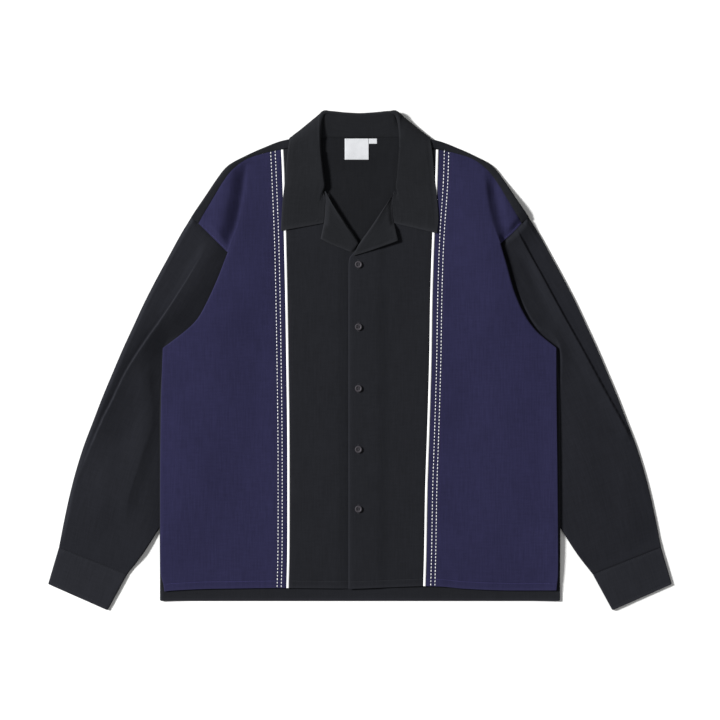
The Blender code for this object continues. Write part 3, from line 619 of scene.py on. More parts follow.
@dataclass(frozen=True)
class SlubCotton(Finish):
    """Cotton woven plain from uneven slub yarn, piece dyed and washed.

    A thick or thin stretch of yarn shows as a faint lighter or darker streak,
    mostly along the warp.  The cloth is matt with a little fuzz, and its folded
    edges are rubbed slightly lighter.
    """

    slot: str
    colour: str
    rubbed: str
    slub: float = 0.15
    thread: float = 1.0  # drawn coarser than the real 0.45 mm, so that it shows
    streak_width: float = 2.3
    streak_length: float = 36.0
    weft_streak: float = 0.6
    relief: float = 0.16
    sheen: float = 0.05
    specular: float = 0.08
    clouds: Pair = (60.0, 95.0)
    fuzz: Pair = (0.55, 0.8)

    def shader(self, tree: NodeTree) -> dict:
        """Shader inputs of this cloth.

        Four stretched noises give the streaks of the warp and the weft, slow
        clouds and the fuzz; their sum is the tone.  The weave is the arch of a
        sine over each thread, and a checker says which thread lies on top.

        Args:
            tree: the material's nodes.

        Returns:
            The inputs by name.
        """
        grain = add_node(tree, "UVMap", uv_map="grain")[0]
        scales = (
            (self.streak_width, self.streak_length, 4.0),
            (self.streak_length * 0.6, self.streak_width * 1.2, 4.0),
            (*self.clouds, 3.0),
            (*self.fuzz, 2.0),
        )
        noises = []
        for shift, (width, length, detail) in enumerate(scales):
            stretched = add_node(tree, "Mapping", {
                "Vector": grain, "Scale": (1 / (width * MM), 1 / (length * MM), 1.0),
                "Location": (2.3 * shift, 3.1 * shift, 0.0),
            })[0]
            noises.append(add_node(tree, "TexNoise", {
                "Vector": stretched, "Scale": 1.0, "Detail": detail, "Roughness": 0.65,
            }, noise_dimensions="2D")[0])
        warp, weft, cloud, fuzz = noises
        tone = warp
        shares = (self.weft_streak, 0.45, 0.25)
        for part, share in zip((weft, cloud, fuzz), shares):
            tone = add_node(tree, "Math", {0: part, 1: share, 2: tone}, operation="MULTIPLY_ADD")[0]
        middle = 0.5 * (1 + sum(shares))
        spread_tone = add_node(tree, "MapRange", {
            "Value": tone, "From Min": middle - 0.28, "From Max": middle + 0.28,
        })[0]
        base = linear(self.colour)
        dark = [part * (1 - self.slub) for part in base[:3]] + [1.0]
        light = [part * (1 + self.slub) for part in base[:3]] + [1.0]
        shade = add_node(tree, "Mix", {0: spread_tone, 6: dark, 7: light}, data_type="RGBA")[2]
        wear = add_node(tree, "Attribute", attribute_name="wear")[2]
        patchy = add_node(tree, "Math", {0: fuzz, 1: 0.5, 2: 0.15}, operation="MULTIPLY_ADD")[0]
        worn = add_node(tree, "Math", {0: wear, 1: patchy}, operation="MULTIPLY")[0]
        colour = add_node(tree, "Mix", {0: worn, 6: shade, 7: linear(self.rubbed)}, data_type="RGBA")[2]
        rough = add_node(tree, "MapRange", {"Value": fuzz, "To Min": 0.86, "To Max": 0.98})[0]
        place = add_node(tree, "SeparateXYZ", {0: grain})
        rounds = []
        for way in place[:2]:
            for operation, rate in (
                ("MULTIPLY", np.pi / (self.thread * MM)), ("SINE", 0.0), ("ABSOLUTE", 0.0),
            ):
                way = add_node(tree, "Math", {0: way, 1: rate}, operation=operation)[0]
            rounds.append(way)
        scaled = add_node(tree, "Mapping", {"Vector": grain, "Scale": (1 / (self.thread * MM),) * 3})[0]
        over = add_node(tree, "TexChecker", {
            "Vector": scaled, "Scale": 1.0, "Color1": (0, 0, 0, 1), "Color2": (1, 1, 1, 1),
        })[1]
        weave = add_node(tree, "Mix", {0: over, 2: rounds[0], 3: rounds[1]}, data_type="FLOAT")[0]
        threads = add_node(tree, "Bump", {
            "Height": weave, "Strength": 0.55, "Distance": self.relief * MM,
        })[0]
        slubs = add_node(tree, "Bump", {
            "Height": tone, "Strength": 0.4, "Distance": 0.14 * MM, "Normal": threads,
        })[0]
        return {
            "Base Color": colour, "Roughness": rough, "Normal": slubs,
            "Specular IOR Level": self.specular, "Sheen Weight": self.sheen,
            "Sheen Roughness": 0.45,
        }


@dataclass(frozen=True)
class WovenWhite(Finish):
    """Bleached white cotton: the folded tape of the piping, the blank label's
    satin, or thick sewing thread.  Fine ribs run across it, and the grooves
    between them get a faint painted shade."""

    slot: str
    colour: str
    shadow: str
    rib: float
    slant: float = 1.0
    relief: float = 0.12
    roughness: float = 0.7

    def shader(self, tree: NodeTree) -> dict:
        """Shader inputs of this cloth: the product of slanted ribs and soil mixes
        its two colours, and the ribs raise it.

        Args:
            tree: the material's nodes.

        Returns:
            The inputs by name.
        """
        grain = add_node(tree, "UVMap", uv_map="grain")[0]
        scaled = add_node(tree, "Mapping", {
            "Vector": grain,
            "Scale": (self.slant / (self.rib * MM), 1 / (self.rib * MM), 1.0),
        })[0]
        ribs = add_node(tree, "TexWave", {
            "Vector": scaled, "Scale": 0.32, "Distortion": 0.6, "Detail": 1.0,
        }, bands_direction="DIAGONAL")[1]
        soil = add_node(tree, "TexNoise", {
            "Vector": grain, "Scale": 140.0, "Detail": 3.0,
        }, noise_dimensions="2D")[0]
        mixed = add_node(tree, "Math", {0: ribs, 1: soil}, operation="MULTIPLY")[0]
        deep = add_node(tree, "MapRange", {"Value": mixed, "From Min": 0.0, "From Max": 0.45})[0]
        # Low parts of the ribs take the shadow colour: painted shade in the grooves.
        colour = add_node(tree, "Mix", {
            0: deep, 6: linear(self.shadow), 7: linear(self.colour),
        }, data_type="RGBA")[2]
        rough = add_node(tree, "MapRange", {
            "Value": soil, "To Min": self.roughness - 0.06, "To Max": self.roughness + 0.06,
        })[0]
        bump = add_node(tree, "Bump", {
            "Height": ribs, "Strength": 0.5, "Distance": self.relief * MM,
        })[0]
        return {
            "Base Color": colour, "Roughness": rough, "Normal": bump,
            "Specular IOR Level": 0.25, "Sheen Weight": 0.08,
        }


@dataclass(frozen=True)
class CastResin(Finish):
    """Polyester resin cast as a rod, sliced, turned and tumbled: the buttons.
    Nearly black with faint smoky clouds, and a soft shine that fine scratches
    break up."""

    name: str = "button_resin_turned"
    slot: str = "button_plastic"
    colour: str = "2F2C31"
    cloud: str = "3C393E"
    roughness: float = 0.6

    def shader(self, tree: NodeTree) -> dict:
        """Shader inputs of the resin: clouds mix its two colours, and fine
        scratches change its roughness and raise it.

        Args:
            tree: the material's nodes.

        Returns:
            The inputs by name.
        """
        place = add_node(tree, "TexCoord")["Object"]
        clouds = add_node(tree, "TexNoise", {
            "Vector": place, "Scale": 260.0, "Detail": 4.0, "Distortion": 0.8,
        })[0]
        scratches = add_node(tree, "TexNoise", {"Vector": place, "Scale": 5200.0, "Detail": 2.0})[0]
        colour = add_node(tree, "Mix", {
            0: clouds, 6: linear(self.colour), 7: linear(self.cloud),
        }, data_type="RGBA")[2]
        rough = add_node(tree, "MapRange", {
            "Value": scratches, "To Min": self.roughness - 0.08, "To Max": self.roughness + 0.12,
        })[0]
        bump = add_node(tree, "Bump", {"Height": scratches, "Strength": 0.15, "Distance": 0.02 * MM})[0]
        return {
            "Base Color": colour, "Roughness": rough, "Normal": bump, "IOR": 1.54,
            "Specular IOR Level": 0.25,
        }


@dataclass(frozen=True)
class StudioPaper(Finish):
    """White background paper: matt, with a barely visible unevenness."""

    name: str = "studio_paper_matt"
    colour: str = "F4F4F3"
    shade: str = "F1F1F0"

    def shader(self, tree: NodeTree) -> dict:
        """Shader inputs of the paper.

        Args:
            tree: the material's nodes.

        Returns:
            The inputs by name.
        """
        place = add_node(tree, "TexCoord")["Object"]
        uneven = add_node(tree, "TexNoise", {"Vector": place, "Scale": 3.0, "Detail": 3.0})[0]
        colour = add_node(tree, "Mix", {
            0: uneven, 6: linear(self.shade), 7: linear(self.colour),
        }, data_type="RGBA")[2]
        return {"Base Color": colour, "Roughness": 0.9, "Specular IOR Level": 0.1}


# Copies of the one black cloth, set a little lighter or darker for the sleeves, cuffs and collar to how
# bright each part looks: painted light and shade.
BLACK_COTTON = SlubCotton("black_cotton_slub_woven", "black_cloth", "1B1C20", "303137")
SLEEVE_COTTON = SlubCotton("black_cotton_slub_sleeve_painted_light", "black_cloth", "1C1D22", "323338")
CUFF_COTTON = SlubCotton("black_cotton_slub_cuff_painted_light", "black_cloth", "202126", "37383E")
# Darker copy for the back's inner side: painted shade inside the neck opening.
BLACK_INSIDE_PAINTED_SHADE = SlubCotton("black_cotton_slub_inside_painted_shade", "black_cloth", "17181B", "2E2F34")
COLLAR_COTTON = SlubCotton("black_cotton_slub_collar_painted_light", "collar_cloth", "1C1D20", "323337")
NAVY_COTTON = SlubCotton("navy_cotton_slub_woven", "navy_cloth", "24233E", "383657")
PIPING_TAPE = WovenWhite("piping_cotton_tape_folded", "piping", "F6F6F4", "D9D9DA", 0.9)
LABEL_SATIN = WovenWhite("label_cotton_satin_woven", "label_cloth", "CCCDD0", "BCBEC1", 0.5, 0.3)
WHITE_THREAD = WovenWhite("pick_thread_cotton_twisted", "piping", "F2F2F0", "BDBDC2", 0.9, 1.4)
BLACK_THREAD = SlubCotton("black_thread_spun_twisted", "black_cloth", "2A2B2F", "4A4B50", 0.3, 0.3)
NAVY_THREAD = SlubCotton("navy_thread_spun_twisted", "navy_cloth", "3A3762", "55527C", 0.3, 0.3)
BUTTON_RESIN = CastResin()


# --- heights
@dataclass(frozen=True)
class Crease:
    """Soft ridge of cloth along a smooth line, with its own slope on each side.

    Its section is a bell curve of each side's width, or on the right side of a
    sharp ridge a slope that eases off.  On the left side the cloth falls further
    by the drop, and comes back over the distance in recover.  The ridge comes and
    goes over the shares in fade at both ends of the line.
    """

    path: tuple[Pair, ...]
    height: float
    left: float
    right: float
    fade: float = 0.3
    drop: float = 0.0
    recover: float = 24.0
    sharp: bool = False

    def at(self, x: Array, y: Array) -> Array:
        """Height of the ridge.

        Args:
            x, y: points; the line's own x is the distance from the middle.

        Returns:
            Millimetres above the cloth, in the shape of x.
        """
        distance, share = beside(np.abs(x), y, self.path)
        ends = ramp(share, 0, self.fade) * ramp(share, 1, 1 - self.fade)
        near = self.height * bell(distance, self.right)
        if self.sharp:
            near = self.height * np.clip(1 + distance / self.right, 0, 1) ** 1.4
        far = (self.height + self.drop) * bell(distance, self.left)
        far = far - self.drop * np.clip(1 - distance / self.recover, 0, 1) ** 2
        return ends * np.where(distance > 0, far, near)


# Long tuck of each sleeve, from its head to above the cuff.
LEFT_TUCK = Crease(
    ((236, 178), (269.6, 120.8), (301, 72.4), (331.4, 29.6), (361.2, -16.9),
     (384, -64), (397, -89.3), (417, -134.5), (436.8, -184)),
    8.4, 1, 50, 0.32, 4.4, 25, True,
)
RIGHT_TUCK = Crease(
    ((240.6, 206), (247.6, 191), (279.4, 133.8), (309.6, 78.2), (341.4, 21.4),
     (371.5, -34.1), (403, -91), (421, -124)),
    3.6, 1.3, 18, 0.06, -0.8, 12, True,
)
# Softer creases: the left elbow's ridge, one toward its cuff, and the rise of the
# upper arm; on the right two toward the cuff, and the hollow beside the armhole.
LEFT_CREASES = (
    Crease(
        ((327, 4), (325, -42), (321, -94), (333, -135), (347, -176),
         (358, -213), (366, -256)),
        3.4, 26, 20, 0.16, sharp=True,
    ),
    Crease(((372, -120), (424, -292)), 1.4, 22, 22),
    Crease(((226, 196), (238, 174), (271, 118), (303, 70), (333, 26)), 3.4, 9, 34, 0.4),
)
RIGHT_CREASES = (
    Crease(((330, -60), (372, -250)), 1.6, 24, 24),
    Crease(((251, 178), (262, 146), (278, 110), (304, 56)), -2.2, 8, 10, 0.4),
    Crease(((392, -150), (430, -290)), 1.2, 20, 20),
)


@dataclass(frozen=True)
class ArmFold:
    """Fold of a front that starts as the free edge at the armhole and runs up to
    its top below the shoulder: level cloth toward the middle, then a straight step
    down, a trough, and a hump whose crest lies at the reach, before the armhole."""

    height: float
    step: float
    trough: float
    hump: float
    reach: float
    start: float
    top: float = 324.0
    inward: Pair = (96.0, 8.0)
    rise: Pair = (30.0, 130.0)
    fade: float = 44.0
    trough_width: float = 6.5
    hump_fall: float = 0.6

    def at(self, side: Side, x: Array, y: Array) -> Array:
        """Height of the fold on a side.

        Args:
            side: the half of the garment.
            x, y: points.

        Returns:
            Millimetres above the cloth, in the shape of x.
        """
        edge = of_side(FRONT_FOLD_EDGE, side)[1:FOLD_CORNER]
        path = np.vstack((edge, of_side(FRONT_FOLD, side)))
        distance, _ = beside(np.abs(x), y, path)
        face = np.clip(distance / self.step + 1, 0, 1) ** 1.6
        ridge = face * ramp(distance, *self.inward)
        along = ramp(y, *self.rise) * ramp(y, self.top, self.top - self.fade)
        valley = self.trough * bell(distance + self.step + 1, self.trough_width)
        hump = self.hump * ramp(-distance, self.start, self.reach)
        hump *= 1 - self.hump_fall * ramp(-distance, self.reach + 2, self.reach + 28)
        return along * (self.height * ridge - valley + hump)


@dataclass(frozen=True)
class Lay:
    """Heights of the layers of cloth where they lie on one another.

    A pair of numbers gives where a change starts and where it is complete: across
    from the middle or inside the edge of a sleeve's head, or up the garment.
    """

    wall: float = 1.2
    gap: float = 0.4
    air: float = 1.4
    left_side_air: float = 0.9
    right_side_air: float = 2.7
    sleeve: float = 3.2
    collar: float = 1.4
    least: float = 2.15
    sleeve_across: Pair = (104.0, 13.0)
    sleeve_up: Pair = (268.0, 234.0)
    collar_across: Pair = (136.0, 108.0)
    collar_up: Pair = (292.0, 324.0)
    side_across: Pair = (276.0, 304.0)
    lap_across: Pair = (46.0, 24.0)
    seam_reach: Pair = (12.0, 1.0)
    looseness: float = 0.6
    folds: tuple[Crease, ...] = (
        Crease(((292, 8), (176, 96)), 0.8, 26, 26),
        Crease(((286, -70), (196, -330)), 0.7, 32, 32),
        Crease(((150, 180), (168, -20)), 0.5, 24, 24),
    )
    arm_left: ArmFold = ArmFold(height=1.0, step=2.0, trough=0.9, hump=6.6, reach=25.0, start=2.0)
    arm_right: ArmFold = ArmFold(
        height=6.6, step=13.0, trough=0.0, hump=3.8, reach=28.0, start=12.0, top=304.0
    )
    joint: float = 3.2

    def over_sleeve(self, x: Array, y: Array) -> Array:
        """Lift of the body where the head of a sleeve lies under it.

        Args:
            x, y: points.

        Returns:
            Millimetres, in the shape of x.
        """
        lift = np.zeros_like(x)
        for side in Side:
            head = of_side(SLEEVE_HEAD, side)
            limit = np.vstack((dense(SLEEVE_INNER)[::-1], head, SLEEVE_OUTER[:1]))
            limit = limit[np.argsort(limit[:, 1])]
            inner = np.interp(y, limit[:, 1], limit[:, 0])
            across = ramp(np.abs(x), *(inner - reach for reach in self.sleeve_across))
            part = (self.sleeve + 2 * self.gap) * across * ramp(y, *self.sleeve_up)
            lift = np.where(x * side.value > 0, part, lift)
        return lift

    def over_collar(self, x: Array, y: Array) -> Array:
        """Lift of the body where the collar's fall lies under the shoulders."""
        across = ramp(np.abs(x), *self.collar_across)
        return (self.collar + 3 * self.gap) * across * ramp(y, *self.collar_up)

    def under_back(self, x: Array, y: Array) -> Array:
        """Height of the outside of the back, which lies on the floor."""
        return np.maximum(self.over_sleeve(x, y), self.over_collar(x, y))

    def slack(self, x: Array, y: Array) -> Array:
        """Slow unevenness of cloth that lies loose, from 0 to 1."""
        slow = undulation(x, y, 7, 90, 240)
        return 0.7 * slow + 0.3 * undulation(x, y, 19, 34, 80)

    def front_top(self, x: Array, y: Array) -> Array:
        """Height of the outside of the fronts: back, air, wall, folds and slack,
        and never less than what two walls need.

        Args:
            x, y: points.

        Returns:
            Millimetres above the floor, in the shape of x.
        """
        under = self.under_back(x, y)
        side_air = np.where(x < 0, self.left_side_air, self.right_side_air)
        air = self.air + (side_air - self.air) * ramp(np.abs(x), *self.side_across)
        rise = sum(fold.at(x, y) for fold in self.folds) + self.looseness * self.slack(x, y)
        arms = np.where(x < 0, self.arm_left.at(Side.LEFT, x, y), self.arm_right.at(Side.RIGHT, x, y))
        return np.maximum(under + 2 * self.wall + air + rise + arms, under + self.least)

    def to_seam(self, level: Array, x: Array, y: Array, way: Array) -> Array:
        """Level that comes down to that of the armhole's seam over the seam's reach."""
        seam = self.under_back(x, y) + self.joint
        return level + (seam - level) * ramp(way, *self.seam_reach)

    def overlap(self, x: Array) -> Array:
        """Further lift of the front that is buttoned over the other."""
        return (self.wall + self.gap) * ramp(x, *self.lap_across)


LAY = Lay()


# --- pieces
def settle(
    name: str, mesh: Mesh, finish: Finish, node: str = "", inner_finish: Finish | None = None
) -> Object:
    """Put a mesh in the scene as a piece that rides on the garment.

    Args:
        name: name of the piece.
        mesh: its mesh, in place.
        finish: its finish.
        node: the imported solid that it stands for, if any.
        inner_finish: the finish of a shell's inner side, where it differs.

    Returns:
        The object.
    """
    for face in (finish, inner_finish or finish):
        mesh.materials.append(face.material())
    piece = bpy.data.objects.new(name, mesh)
    bpy.context.scene.collection.objects.link(piece)
    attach(piece, BODY)
    if node:
        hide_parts(node)
    log.info("%s: %d faces", name, len(mesh.polygons))
    return piece


def lay_cloth(
    node: str, surface: Surface, wall: float, finish: Finish, inner_finish: Finish | None = None
) -> Object:
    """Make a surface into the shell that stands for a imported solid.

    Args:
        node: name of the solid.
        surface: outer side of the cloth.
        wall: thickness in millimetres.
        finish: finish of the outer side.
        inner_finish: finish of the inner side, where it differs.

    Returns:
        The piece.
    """
    name = f"cloth_{node}"
    return settle(name, shell(name, surface, wall), finish, node, inner_finish)


@dataclass(frozen=True)
class Cut:
    """Flat cut of what shows of a piece, in metres, and how it lies."""

    width: float
    length: float
    area: float
    held: Held = Held.LAID

    def declare(self, piece: Object, rests_on: tuple, trims: tuple = ()) -> None:
        """Take the piece, what it rests on and its stitches, and do nothing with them.

        Args:
            piece: the cloth; not used.
            rests_on: what it lies on or is sewn to; not used.
            trims: stitches that go with it; not used.
        """


@dataclass(frozen=True)
class Stitches:
    """Run of sewing stitches: short rounded bars of thread whose ends sink in.

    Each bar is six rings of six corners: the radius follows a rounded rectangle,
    and the middle of each ring an arch that dips at both ends.
    """

    length: float
    width: float
    pitch: float
    finish: Finish
    loose: float = 0.06

    def along(self, line: Array) -> tuple[Array, Array]:
        """Places and directions of the stitches along a line.

        Args:
            line: points (n, 3) on the cloth's surface.

        Returns:
            Middles (k, 3) and directions (k, 3).
        """
        total = lengths(line)[-1]
        count = max(1, int(total / self.pitch))
        middles = (np.arange(count) + 0.5) * total / count
        reach = 0.5 * self.length
        ends = [at_shares(line, (middles + sign * reach) / total) for sign in (-1.0, 1.0)]
        return 0.5 * (ends[0] + ends[1]), ends[1] - ends[0]

    def mesh(self, name: str, middles: Array, directions: Array) -> Mesh:
        """Mesh of all the stitches of a run.

        Args:
            name: name of the piece.
            middles: middles (k, 3) on the surface.
            directions: directions (k, 3).

        Returns:
            The mesh.
        """
        draws = np.random.default_rng(len(middles)).normal(0.0, self.loose, (3, len(middles)))
        ahead = directions / np.linalg.norm(directions, axis=1)[:, None]
        aside = np.cross((0.0, 0.0, 1.0), ahead)
        ahead = ahead + aside * draws[0][:, None]
        aside = np.cross((0.0, 0.0, 1.0), ahead)
        above = np.cross(ahead, aside)
        place = np.array((-0.5, -0.37, -0.13, 0.13, 0.37, 0.5))
        thick = 0.5 * self.width * np.array((0.35, 0.85, 1.0, 1.0, 0.85, 0.35))
        arch = self.width * np.array((-0.30, 0.12, 0.24, 0.24, 0.12, -0.30))
        turn = np.arange(6) * np.pi / 3
        run = np.repeat(place[:, None] * self.length, 6, axis=1)
        side = thick[:, None] * np.cos(turn)
        high = arch[:, None] + 0.8 * thick[:, None] * np.sin(turn)
        size = (1 + draws[1])[:, None, None, None]
        points = middles[:, None, None, :] + size * (
            run[None, ..., None] * ahead[:, None, None, :]
            + side[None, ..., None] * aside[:, None, None, :]
            + high[None, ..., None] * above[:, None, None, :]
        )
        count = len(middles)
        quads = (bar_quads(6, 6)[None] + 36 * np.arange(count)[:, None, None]).reshape(-1, 4)
        around = np.repeat(turn[None, :], 6, axis=0) * 0.5 * self.width
        grain = np.stack((around, run), -1)[None] + draws[2][:, None, None, None] * 20
        flat = np.broadcast_to(grain, (count, 6, 6, 2)).reshape(-1, 2)
        return mesh_of(name, points.reshape(-1, 3), quads, flat, np.full(count * 36, FAR))

    def sew(self, name: str, lines: list[Array]) -> Object:
        """Piece with the stitches along several lines on the cloth.

        Args:
            name: name of the piece.
            lines: points (n, 3) of each line.

        Returns:
            The piece.
        """
        runs = [self.along(line) for line in lines]
        middles, directions = (np.concatenate(part) for part in zip(*runs))
        return settle(name, self.mesh(name, middles, directions), self.finish)


PICK_STITCH = Stitches(3.35, 1.45, 5.3, WHITE_THREAD)
BLACK_STITCH = Stitches(2.4, 0.5, 3.0, BLACK_THREAD)
NAVY_STITCH = Stitches(2.4, 0.5, 3.0, NAVY_THREAD)


@dataclass(frozen=True)
class Ways:
    """Lengths from each point of a flat grid to its four sides, along its lines."""

    left: Array
    right: Array
    bottom: Array
    top: Array

    @classmethod
    def of(cls, flat: Array) -> "Ways":
        """Lengths measured on a grid.

        Args:
            flat: points (rows, columns, 2).

        Returns:
            The lengths, each (rows, columns).
        """
        across = np.linalg.norm(np.diff(flat, axis=1), axis=2).cumsum(1)
        up = np.linalg.norm(np.diff(flat, axis=0), axis=2).cumsum(0)
        across = np.pad(across, ((0, 0), (1, 0)))
        up = np.pad(up, ((1, 0), (0, 0)))
        return cls(across, across[:, -1:] - across, up, up[-1:] - up)


def seam_edge(way: Array) -> Array:
    """Dip of cloth at a sewn seam: half a millimetre, over the last three."""
    return -0.5 * bell(way, 1.8)


def folded_edge(way: Array, depth: float = 0.5, width: float = 1.5) -> Array:
    """Dip of cloth at a folded edge: a quarter turn of the given depth and width."""
    near = np.clip(1 - way / width, 0, 1)
    return -depth * (1 - np.sqrt(1 - near**2))


def stitched_edge(way: Array) -> Array:
    """Groove of the line of stitches 5.5 mm inside a finished edge."""
    return -0.3 * bell(way - 5.5, 1.4)


def hem_band(way: Array, depth: float) -> Array:
    """Step of a turned-up hem, a third of a millimetre, with its stitched groove."""
    return 0.35 * ramp(way, depth + 0.9, depth - 0.9) - 0.3 * bell(way - depth, 1.3)


@dataclass
class Back:
    """Back panel, hem to neck, carried over both shoulders to the front seams."""

    wall: float = 0.9
    step: float = 4.2
    seam_gap: float = 0.3
    corner: float = 2.5
    corner_across: Pair = (290.0, 310.0)
    neck_steps: int = 37
    roll_steps: int = 8
    flap_steps: int = 9
    hem_groove: float = 5.5
    turned_hem: float = 20.0
    cut: Cut = Cut(0.624, 0.738, 0.398)

    def top_line(self, shares: Array) -> Array:
        """Fold of the shoulders and edge of the neck, right to left, each with
        the point of the seam across from it.

        Args:
            shares: places (m,) from 0 to 1.

        Returns:
            Rows (m, 4) of x, y, the seam's x and the seam's y.
        """
        neck = [(x, y, x, y) for x, y in BACK_NECK]
        half = np.vstack((dense(SHOULDER)[::-1], dense(neck)[1:]))
        other = half[-2::-1] * (-1.0, 1.0, -1.0, 1.0)
        return at_shares(np.vstack((half, other)), shares)

    def surface(self) -> Surface:
        """Outside of the back.

        The main part is a Coons patch that lies on the floor.  At the top each
        column goes round half a circle and back along the front to the seam.

        Returns:
            The surface.
        """
        half = dense(SHOULDER)
        shoulder = lengths(half)[-1]
        share = shoulder / (shoulder + lengths(dense(BACK_NECK))[-1]) / 2
        count = round(shoulder / self.step)
        u = np.concatenate((
            np.linspace(0, share, count)[:-1],
            np.linspace(share, 1 - share, self.neck_steps + 1)[:-1],
            np.linspace(1 - share, 1, count),
        ))
        side = np.vstack((dense(BACK_SIDE)[:-1], dense(BACK_ARMHOLE)))
        v = spread(lengths(side)[-1], self.step)
        row = self.top_line(u)
        fold, seam = row[:, :2], row[:, 2:]
        toward = seam - fold
        reach = np.linalg.norm(toward, axis=1)[:, None]
        inward = np.where(reach > 0.5, toward / np.maximum(reach, 0.5), 0.0)
        low = LAY.under_back(fold[:, 0], fold[:, 1])
        high = LAY.front_top(seam[:, 0], seam[:, 1])
        along = lengths(fold)
        from_end = np.minimum(along, along[-1] - along)
        high = LAY.to_seam(high, fold[:, 0], fold[:, 1], from_end)
        radius = 0.5 * (high - low)
        begin = fold + inward * radius[:, None]
        right = at_shares(side, v)
        right += (begin[0] - right[-1]) * ramp(v, 0.9, 1)[:, None]
        hem = np.column_stack((side[0, 0] * (1 - 2 * u), np.full(len(u), side[0, 1])))
        left = right * (-1.0, 1.0)
        flat = coons((hem, left, begin, right), u, v)
        tuck = np.clip(1 - np.minimum(flat[..., 1] - side[0, 1], self.corner) / self.corner, 0, 1)
        shift = self.corner * (1 - np.sqrt(1 - tuck**2))
        shift *= ramp(np.abs(flat[..., 0]), *self.corner_across)
        flat[..., 0] -= np.sign(flat[..., 0]) * shift
        ways = Ways.of(flat)
        x, y = flat[..., 0], flat[..., 1]
        level = LAY.under_back(x, y)
        seen = ramp(y, 150, 230) * ramp(np.abs(x), 100, 70)
        level = level + 0.4 * LAY.slack(x, y) * seen
        level += 0.7 * hem_band(ways.bottom, self.hem_groove)
        main = np.dstack((flat, level))
        turn = np.linspace(0, np.pi, self.roll_steps + 1)[1:, None]
        out = (radius * (1 - np.sin(turn)))[..., None]
        roll = fold[None] + inward[None] * out
        rolled = np.dstack((roll, 0.5 * (low + high) - radius * np.cos(turn)))
        share = np.linspace(0, 1, self.flap_steps + 1)[1:, None, None]
        end = seam - inward * self.seam_gap
        flap = begin[None] * (1 - share) + end[None] * share
        flap_level = high + seam_edge(np.linalg.norm(flap - end[None], axis=2))
        points = np.concatenate((main, rolled, np.dstack((flap, flap_level))))
        extra = self.roll_steps + self.flap_steps
        keep = np.ones((len(points) - 1, len(u) - 1), bool)
        middle = 0.5 * (u[1:] + u[:-1])
        hole = (middle > u[count - 1]) & (middle < u[count - 1 + self.neck_steps])
        keep[len(main) - 1 :, hole] = False
        edge = np.minimum.reduce((ways.left, ways.right, ways.bottom))
        edge = np.pad(edge, ((0, extra), (0, 0)), constant_values=FAR)
        return Surface(points, points[..., :2].copy(), edge, keep=keep)

    def turn_hem(self, mesh: Mesh) -> None:
        """Keep the painted shade of the back's inner side off the turned-up hem.

        Args:
            mesh: the shell of the back.
        """
        middle = np.zeros(3 * len(mesh.polygons), np.float32)
        mesh.polygons.foreach_get("center", middle)
        slots = np.zeros(len(mesh.polygons), np.int32)
        mesh.polygons.foreach_get("material_index", slots)
        # The turned-up hem's inner faces take the plain cloth, without the painted shade.
        slots[middle[1::3] < (BACK_SIDE[0][1] + self.turned_hem) * MM] = 0
        mesh.polygons.foreach_set("material_index", slots)

    def build(self) -> None:
        """Make the back."""
        # The back's inner side is darkened: painted shade where the collar and fronts shade the inside
        # of the neck.
        piece = lay_cloth("back", self.surface(), self.wall, BLACK_COTTON, BLACK_INSIDE_PAINTED_SHADE)
        self.turn_hem(piece.data)
        self.cut.declare(piece, ("studio_floor",))


